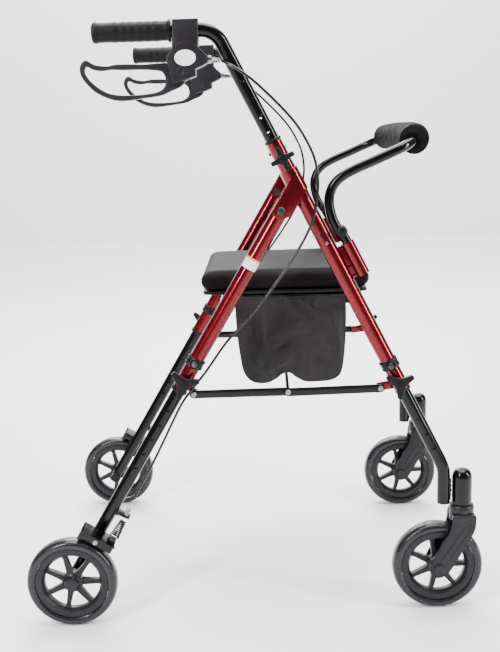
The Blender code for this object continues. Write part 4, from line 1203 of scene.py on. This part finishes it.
class WALKER_OT_rear_brakes(bpy.types.Operator):
    """Brake shoes with their bolts, return springs and the cable's end"""

    bl_idname = "walker.rear_brakes"
    bl_label = "Rear Brakes"

    def execute(self, context):
        def spot(along, rise):
            return BRAKE_BOLT + OUT_REAR * along - DOWN_REAR * rise

        def outline(points):
            return [side_view(spot(*pair) for pair in points)]

        flange = outline(
            (
                (-0.030, 0.008), (0.031, 0.008), (0.031, -0.006), (-0.020, -0.0040), (-0.026, -0.0088),
                (-0.030, -0.0092)
            )
        )
        web = outline(((-0.030, 0.008), (0.031, 0.008), (0.031, 0.0055), (-0.030, 0.0055)))
        pad = outline(((-0.030, 0.008), (-0.0265, 0.008), (-0.0265, -0.0088), (-0.030, -0.0092)))
        coils = context.scene.walker_sizes.coils
        for word, side in SIDES.items():
            body = "brake_shoe_" + word
            shapes = [
                plate(flange, side * 0.2355, side * 0.2380, 0.0006),
                plate(flange, side * 0.2700, side * 0.2725, 0.0006)
            ]
            shapes += [
                plate(web, side * 0.2370, side * 0.2715, 0.0005),
                plate(pad, side * 0.2370, side * 0.2715, 0.0008)
            ]
            finished(join(*shapes), "shoe_channel_" + word, body, "black_paint", stands_for=body)
            bolt = screw(at_side(BRAKE_BOLT, side, 0.2724), (0, side, 0), 0.0042, 0.0018)
            finished(bolt, "shoe_bolt_" + word, body, "steel")
            path = []
            count = coils * 18
            base = at_side(spot(0.0250, 0.0088), side, 0.2420)
            for k in range(count + 1):
                t = k / count
                angle = 2 * math.pi * coils * t
                spread = 0.0076 - 0.0030 * t
                path.append(
                    base - DOWN_REAR * (0.0016 + 0.0330 * t) + OUT_REAR * spread * math.cos(angle)
                    + Vector((0, spread * math.sin(angle), 0))
                )
            spring = tube(path, 0.0012, 10)
            finished(
                spring, "return_spring_" + word, "rear_leg_" + word, "steel", "spring_steel",
                "brake_spring_" + word, angle=60
            )
            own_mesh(spring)
            ball = [
                (0, -0.0028), (0.0017, -0.0023), (0.0028, -0.0004), (0.0028, 0.0004), (0.0017, 0.0023),
                (0, 0.0028)
            ]
            finished(
                turned(ball, at_side(spot(0.0330, -0.0010), side, 0.2540), DOWN_REAR, 24),
                "pull_end_" + word, body, "steel", angle=60
            )
        return {"FINISHED"}


class WALKER_OT_brake_cables(bpy.types.Operator):
    """Brake cables in three lengths each: along the handle, across the fold and down the leg"""

    bl_idname = "walker.brake_cables"
    bl_label = "Brake Cables"

    def execute(self, context):
        points = [
            (-0.0285, 0.232, 0.9115), (-0.013, 0.243, 0.903), (0.014, 0.249, 0.884), (0.049, 0.250, 0.851),
            (0.078, 0.250, 0.819), (0.096, 0.250, 0.791), (0.109, 0.250, 0.761), (0.1135, 0.250, 0.731),
            (0.112, 0.250, 0.704), (0.106, 0.250, 0.673), (0.096, 0.250, 0.648), (0.078, 0.250, 0.617),
            (0.048, 0.250, 0.574), (0.006, 0.248, 0.521), (-0.035, 0.243, 0.477), (-0.068, 0.238, 0.431),
            (-0.090, 0.2355, 0.403), (-0.111, 0.2345, 0.376), (-0.128, 0.233, 0.345),
            (-0.149, 0.230, 0.303), (-0.171, 0.229, 0.261), (-0.2010, 0.229, 0.2080)
        ]
        steps = 8
        for word, side in SIDES.items():
            path = smooth_path([at_side(p, side, p[1]) for p in points], steps)
            rows = (
                ("upper", 0, 6, "handle_" + word, "front_frame", 0, 6),
                ("middle", 6, 16, "front_frame", "rear_frame", 6, 16),
                ("lower", 16, 21, "rear_frame", "rear_leg_" + word, 17, 21),
            )
            for name, first, last, above, below, start, end in rows:
                line = tube(path[first * steps : last * steps + 1], CABLE_R, 16)
                finished(
                    line, f"cable_{name}_{word}", None, "rubber", "cable_jacket",
                    stands_for="brake_cable_" + word, angle=60
                )
                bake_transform(line)
        return {"FINISHED"}


def swell(obj, limit, pressure=4.0):
    """Pads a closed shape out with cloth under pressure, never further than the limit."""
    rest = [v.co.copy() for v in obj.data.vertices]
    scene = bpy.context.scene
    pick(obj)
    bpy.ops.object.modifier_add(type="CLOTH")
    soft = obj.modifiers[-1]
    soft.settings.use_pressure = True
    soft.settings.uniform_pressure_force = pressure
    soft.settings.effector_weights.gravity = 0
    soft.point_cache.frame_start = 1
    soft.point_cache.frame_end = 20
    for step in range(1, 21):
        scene.frame_set(step)
    bpy.ops.object.modifier_apply(modifier=soft.name)
    scene.frame_set(1)
    for vert, start in zip(obj.data.vertices, rest):
        move = vert.co - start
        if move.length > limit:
            vert.co = start + move.normalized() * limit
    return obj


def smoothed(obj, factor=0.5, rounds=4):
    return modify(obj, "SMOOTH", factor=factor, iterations=rounds)


class WALKER_OT_seat(bpy.types.Operator):
    """Padded vinyl seat on a board with clips for the cross tubes"""

    bl_idname = "walker.seat"
    bl_label = "Seat"

    def execute(self, context):
        low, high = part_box("seat_cushion")
        deselect()
        bpy.ops.mesh.primitive_cube_add(size=1)
        pad = bpy.context.object
        middle = (low + high) / 2
        size = high - low
        place(
            pad,
            Matrix.Translation(middle) @ Matrix.Diagonal(
                (size.x - 0.006, size.y - 0.006, size.z - 0.004, 1)
            )
        )
        pick(pad)
        bpy.ops.object.mode_set(mode="EDIT")
        bpy.ops.mesh.select_all(action="SELECT")
        bpy.ops.mesh.bevel(offset=0.013, segments=5, profile=0.5)
        bpy.ops.object.mode_set(mode="OBJECT")
        modify(pad, "REMESH", mode="VOXEL", voxel_size=0.0045)
        swell(pad, context.scene.walker_sizes.seat_swell)
        smoothed(pad, 0.6, 5)
        for vert in pad.data.vertices:
            x = (vert.co.x - middle.x) / (size.x / 2)
            y = (vert.co.y - middle.y) / (size.y / 2)
            rise = (vert.co.z - low.z) / size.z
            if rise > 0.45:
                vert.co.z += 0.0030 * max(0, 1 - x * x) * max(0, 1 - y * y) * rise
                vert.co.z += 0.0012 * noise.noise(vert.co * 22) * rise
            vert.co.z = min(max(vert.co.z, low.z), high.z + 0.002)
        modify(pad, "SUBSURF", levels=1, render_levels=1)
        finished(pad, "seat_padding", "seat", "seat_vinyl", stands_for="seat_cushion", angle=80)
        sheet = []
        for k, (x, y) in enumerate(((0.189, 0.128), (-0.066, 0.128), (-0.066, -0.128), (0.189, -0.128))):
            sheet += [(px, -py) for px, py in arc((x, y), 0.012, 90 * k, 90 * k + 90, 6)]
        board = place(plate([sheet], 0.5347, 0.5400, 0.0008), Matrix.Rotation(math.pi / 2, 4, "X"))
        shapes = [board]
        for centre, reach in ((on_front(CROSS_Z), 0.0134), (on_rear(CROSS_Z), 0.0100)):
            for y in (-0.095, 0.095):
                foot = 0.5087 if reach > 0.012 else 0.5320
                block = [
                    (centre.x - reach, 0.5352), (centre.x + reach, 0.5352), (centre.x + reach, foot),
                    (centre.x - reach, foot)
                ]
                clip = plate([block], y - 0.012, y + 0.012, 0.0010)
                bar = peg(0.0098, -0.02, 0.02, (centre.x, y, CROSS_Z), (0, 1, 0), 40)
                shapes.append(carve(clip, bar))
        finished(join(*shapes), "seat_base", "seat", "grey_plastic", "black_plastic", "seat_board")
        return {"FINISHED"}


FOLDS = (
    ((0.089, 0.522), (0.145, 0.467), 0.0042), ((0.035, 0.461), (0.106, 0.478), 0.0038),
    ((0.040, 0.436), (0.089, 0.461), -0.0034), ((0.106, 0.440), (0.147, 0.426), 0.0032),
    ((0.018, 0.534), (0.022, 0.405), 0.0030), ((0.050, 0.534), (0.081, 0.483), -0.0030),
    ((0.120, 0.534), (0.108, 0.500), -0.0032), ((0.150, 0.500), (0.153, 0.400), 0.0030),
    ((0.030, 0.400), (0.070, 0.425), 0.0030), ((0.140, 0.395), (0.105, 0.420), -0.0028),
    ((-0.005, 0.500), (0.010, 0.440), -0.0026)
)


def fold_height(x, z):
    """How far the bag's folds lift its side at a place."""
    height = 0.0
    for (ax, az), (bx, bz), lift in FOLDS:
        run = Vector((bx - ax, bz - az))
        step = Vector((x - ax, z - az))
        t = max(0.0, min(1.0, step.dot(run) / run.length_squared))
        away = (step - run * t).length / (0.0050 + 0.0045 * t)
        height += 1.7 * lift * math.exp(-away * away) * math.sin(math.pi * (0.12 + 0.8 * t))
    return height


def bag_outline():
    """The bag seen from its side, from the top at the back round the sagging bottom to the front."""
    line = [
        (-0.0250, 0.5310), (-0.0245, 0.5050), (-0.0235, 0.4780), (-0.0215, 0.4500), (-0.0180, 0.4200),
        (-0.0145, 0.3990), (-0.0070, 0.3850), (0.0040, 0.3775), (0.0200, 0.3760), (0.0340, 0.3785),
        (0.0450, 0.3855), (0.0530, 0.3920), (0.0610, 0.3935), (0.0690, 0.3920), (0.0770, 0.3855),
        (0.0900, 0.3785), (0.1100, 0.3755), (0.1320, 0.3765), (0.1480, 0.3820), (0.1560, 0.3910),
        (0.1600, 0.4100), (0.1630, 0.4380), (0.1650, 0.4700), (0.1655, 0.5000), (0.1650, 0.5300)
    ]
    return soft_outline(line, 3, closed=False)


class WALKER_OT_bag(bpy.types.Operator):
    """Nylon bag that hangs from the two cross tubes in two sagging lobes"""

    bl_idname = "walker.bag"
    bl_label = "Bag"

    def execute(self, context):
        sag = context.scene.walker_sizes.bag_sag
        outline = bag_outline()
        deselect()
        bpy.ops.mesh.primitive_grid_add(x_subdivisions=len(outline) - 1, y_subdivisions=44, size=1)
        belt = bpy.context.object
        for vert in belt.data.vertices:
            k = round((vert.co.x + 0.5) * (len(outline) - 1))
            x, z = outline[k]
            vert.co = Vector((x, vert.co.y * 2 * BAG_HALF, z))
        sides = []
        for side in (-1, 1):
            deselect()
            bpy.ops.mesh.primitive_grid_add(x_subdivisions=72, y_subdivisions=56, size=1)
            cheek = bpy.context.object
            for vert in cheek.data.vertices:
                u, v = vert.co.x + 0.5, vert.co.y + 0.5
                spot = u * (len(outline) - 1)
                a = outline[min(int(spot), len(outline) - 2)]
                b = outline[min(int(spot) + 1, len(outline) - 1)]
                low_x = a[0] + (b[0] - a[0]) * (spot - int(spot))
                low_z = a[1] + (b[1] - a[1]) * (spot - int(spot))
                top_x = -0.0250 + 0.1900 * u
                top_z = 0.5310 - 0.0010 * u
                vert.co = Vector(
                    (low_x + (top_x - low_x) * v, side * BAG_HALF, low_z + (top_z - low_z) * v)
                )
            sides.append(cheek)
        bag = join(belt, *sides)
        close_up(bag, 0.0012)
        modify(bag, "SUBSURF", levels=1, render_levels=1)
        centre = Vector((0.070, 0, 0.445))
        for vert in bag.data.vertices:
            x, y, z = vert.co
            depth = max(0.0, min(1.0, (0.500 - z) / 0.115))
            face = abs(y) > 0.115
            fold = noise.fractal(Vector((x * 16, y * 10, z * 7)), 0.8, 2.1, 4)
            crease = 1 - abs(noise.noise(Vector((x * 26 + z * 9, y * 14, z * 20 + x * 8)))) * 2
            lobes = math.cos((x - 0.018) / 0.088 * 2 * math.pi)
            if face:
                mid = math.sin(math.pi * max(0.0, min(1.0, (x + 0.0250) / 0.194)))
                belly = sag * math.sin(math.pi * min(1, depth * 0.85)) * mid
                swelling = belly + 0.0100 * fold * depth * mid + 0.0030 * crease * depth * mid
                swelling = swelling + 0.0022 * lobes * depth + fold_height(x, z)
                vert.co.y += math.copysign(swelling, y)
            else:
                out = Vector((x - centre.x, 0, z - centre.z)).normalized()
                middle = math.cos(math.pi * min(1.0, abs(y) / 0.135) / 2)
                vert.co += out * ((0.0030 * fold + 0.0018 * crease) * min(1, depth * 3) * middle)
        smoothed(bag, 0.35, 2)
        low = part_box("bag")[0]
        for vert in bag.data.vertices:
            vert.co.z = max(vert.co.z, low.z - 0.004)
        modify(bag, "SOLIDIFY", thickness=0.0008, offset=-1)
        finished(bag, "bag_shell", "front_frame", "bag_fabric", stands_for="bag", angle=70)
        # The cut is a cross: a belt 264 x 468 mm and two side panels of 0.0273 square metres.
        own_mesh(bag)
        hems = []
        for side in (-1, 1):
            strip = [
                Vector((-0.0245, side * 0.1326, 0.5295)), Vector((0.030, side * 0.1330, 0.5270)),
                Vector((0.090, side * 0.1330, 0.5272)), Vector((0.1645, side * 0.1326, 0.5290))
            ]
            hems.append(tube(smooth_path(strip, 8), 0.0016, 10))
        hem = finished(join(*hems), "bag_hem", "front_frame", "bag_fabric", angle=70)
        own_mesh(hem)
        return {"FINISHED"}


class WALKER_OT_backrest(bpy.types.Operator):
    """Backrest bar with its ball knobs and the foam roll"""

    bl_idname = "walker.backrest"
    bl_label = "Backrest"

    def execute(self, context):
        socket = OUT_FRONT * SOCKET_OFFSET
        points = [on_front(SOCKET_Z, 0.050) + socket, on_front(SOCKET_Z, -0.006) + socket]
        points += [
            Vector(p)
            for p in (
                (0.142, 0, 0.656), (0.1345, 0, 0.676), (0.132, 0, 0.697), (0.1375, 0, 0.716),
                (0.150, 0, 0.730), (0.171, 0, 0.742), (0.204, 0, 0.7555), (0.236, 0, 0.769)
            )
        ]
        widths = [PLANE] * 9 + [0.222]
        curve = [
            Vector(p)
            for p in (
                (0.256, 0.212, 0.7775), (0.268, 0.193, 0.783), (0.275, 0.165, 0.7865),
                (0.280, 0.120, 0.788), (0.283, 0.060, 0.789)
            )
        ]
        half = [at_side(p, 1, w) for p, w in zip(points, widths)] + curve
        line = [at_side(p, -1, p.y) for p in half] + [Vector((0.284, 0, 0.789))] + half[::-1]
        body = tube(smooth_path(line, 5), 0.0080, 36)
        finished(body, "backrest_bar", "backrest", "black_paint", stands_for="backrest_tube", angle=60)
        knobs = []
        dome = [
            (0, 0.0040), (0.0056, 0.0048), (0.0076, 0.0064), (0.0090, 0.0088), (0.0093, 0.0112),
            (0.0086, 0.0138), (0.0068, 0.0157), (0.0040, 0.0168), (0, 0.0172)
        ]
        for side in (-1, 1):
            centre = at_side(on_front(SOCKET_Z, -0.020) + socket, side)
            knobs += [turned(dome, centre, (0, side * face, 0), 36) for face in (1, -1)]
        finished(join(*knobs), "backrest_ball_knobs", "backrest", "grey_plastic", "black_plastic", angle=60)
        ends = curve[1:]
        spine = smooth_path(
            [at_side(p, -1, p.y) for p in ends] + [Vector((0.284, 0, 0.789))] + ends[::-1], 10
        )
        count = len(spine) - 1
        start, stop = spine[0] - (spine[1] - spine[0]).normalized() * 0.0004, spine[-1] + (
            spine[-1] - spine[-2]
        ).normalized() * 0.0004
        radii = []
        for k in range(count + 1):
            edge = min(k, count - k) / count
            round_off = min(1.0, 0.55 + 9 * edge) if edge < 0.05 else 1.0
            radii.append(round_off * (1 + 0.012 * noise.noise(Vector((k * 0.13, 0, 0)))))
        roll = tube([start] + spine[1:-1] + [stop], 0.0234, 48, radii)
        modify(roll, "SUBSURF", levels=1, render_levels=1)
        finished(roll, "backrest_foam", "backrest", "foam", stands_for="backrest_pad", angle=70)
        return {"FINISHED"}


LAMPS = (
    ("wall_light", (0, 2.8, 3.6), (0, 5.2, 1.2), (7, 0.6), 420),
    ("overhead", (0.1, 0.5, 3.0), (0.05, 0.2, 0.0), (2.6, 2.6), 260),
    ("key", (-1.5, -1.9, 1.9), (0, 0, 0.5), (0.22, 1.7), 110),
    ("side", (2.1, -0.9, 1.3), (0.05, 0, 0.45), (0.2, 1.8), 70, (1, 0.97, 0.96)),
    ("rim", (-0.4, 2.4, 1.8), (0, 0, 0.55), (1.8, 0.8), 60),
)


class WALKER_OT_stage(bpy.types.Operator):
    """Pale floor, soft lights and the camera"""

    bl_idname = "walker.stage"
    bl_label = "Stage"

    def light(self, name, spot, aim, size, power, shade=(1, 1, 1)):
        deselect()
        bpy.ops.object.light_add(type="AREA", location=spot)
        lamp = bpy.context.object
        lamp.name = name
        lamp.data.shape = "RECTANGLE"
        lamp.data.size, lamp.data.size_y = size
        lamp.data.energy = power
        lamp.data.color = shade
        lamp.rotation_euler = (Vector(aim) - Vector(spot)).to_track_quat("-Z", "Y").to_euler()

    def execute(self, context):
        deselect()
        bpy.ops.mesh.primitive_plane_add(size=14)
        floor = bpy.context.object
        floor.name = "studio_floor"
        ground = Finish("floor_paper", Base_Color=(0.86, 0.86, 0.87, 1))
        ground.feed("Roughness", ground.span(ground.noise(3, 2.0), 0.62, 0.78))
        floor.data.materials.append(FINISHES["floor_paper"])
        deselect()
        bpy.ops.mesh.primitive_plane_add(size=16, location=(0, 5.2, 6), rotation=(math.pi / 2, 0, 0))
        wall = bpy.context.object
        wall.name = "studio_wall"
        bpy.ops.object.transform_apply(location=True, rotation=True, scale=True)
        wall.data.materials.append(FINISHES["floor_paper"])
        world = context.scene.world or bpy.data.worlds.new("studio")
        context.scene.world = world
        world.use_nodes = True
        back = world.node_tree.nodes["Background"]
        back.inputs["Color"].default_value = (1, 1, 1, 1)
        back.inputs["Strength"].default_value = 0.32
        for lamp in LAMPS:
            self.light(*lamp)
        right = Vector((0.99948, 0.01291, -0.02970))
        up = Vector((0.02636, 0.20795, 0.97778))
        turn = Matrix((right, up, right.cross(up))).transposed().to_4x4()
        bpy.ops.object.camera_add()
        camera = bpy.context.object
        camera.name = "view"
        camera.matrix_world = Matrix.Translation((0.0304, -1.7087, 0.8122)) @ turn
        camera.data.sensor_width = SENSOR
        camera.data.lens = 938.8 * SENSOR / 652
        context.scene.camera = camera
        return {"FINISHED"}


STEPS = (
    WALKER_OT_stage,
    WALKER_OT_front_frame,
    WALKER_OT_rear_frame,
    WALKER_OT_cross_tubes,
    WALKER_OT_collars,
    WALKER_OT_knobs,
    WALKER_OT_side_bars,
    WALKER_OT_legs,
    WALKER_OT_wheels,
    WALKER_OT_forks,
    WALKER_OT_handles,
    WALKER_OT_brake_housings,
    WALKER_OT_levers,
    WALKER_OT_rear_brakes,
    WALKER_OT_brake_cables,
    WALKER_OT_seat,
    WALKER_OT_bag,
    WALKER_OT_backrest,
)


class WALKER_PT_pieces(bpy.types.Panel):
    """Buttons for the walker's pieces, with its sizes and colours"""

    bl_idname = "WALKER_PT_pieces"
    bl_label = "Rollator Walker"
    bl_space_type = "VIEW_3D"
    bl_region_type = "UI"
    bl_category = "Walker"

    def draw(self, context):
        for group in (context.scene.walker_colours, context.scene.walker_sizes):
            for key in group.bl_rna.properties.keys():
                if key not in ("rna_type", "name"):
                    self.layout.prop(group, key)
        for step in STEPS:
            self.layout.operator(step.bl_idname)


CLASSES = (WalkerColours, WalkerSizes) + STEPS + (WALKER_PT_pieces,)


def register():
    for item in CLASSES:
        bpy.utils.register_class(item)
    bpy.types.Scene.walker_colours = bpy.props.PointerProperty(type=WalkerColours)
    bpy.types.Scene.walker_sizes = bpy.props.PointerProperty(type=WalkerSizes)


def unregister():
    del bpy.types.Scene.walker_sizes
    del bpy.types.Scene.walker_colours
    for item in reversed(CLASSES):
        bpy.utils.unregister_class(item)


def main():
    register()
    make_finishes()
    for step in STEPS:
        group, action = step.bl_idname.split(".")
        getattr(getattr(bpy.ops, group), action)()
    bpy.context.view_layer.update()


if __name__ == "__main__":
    main()
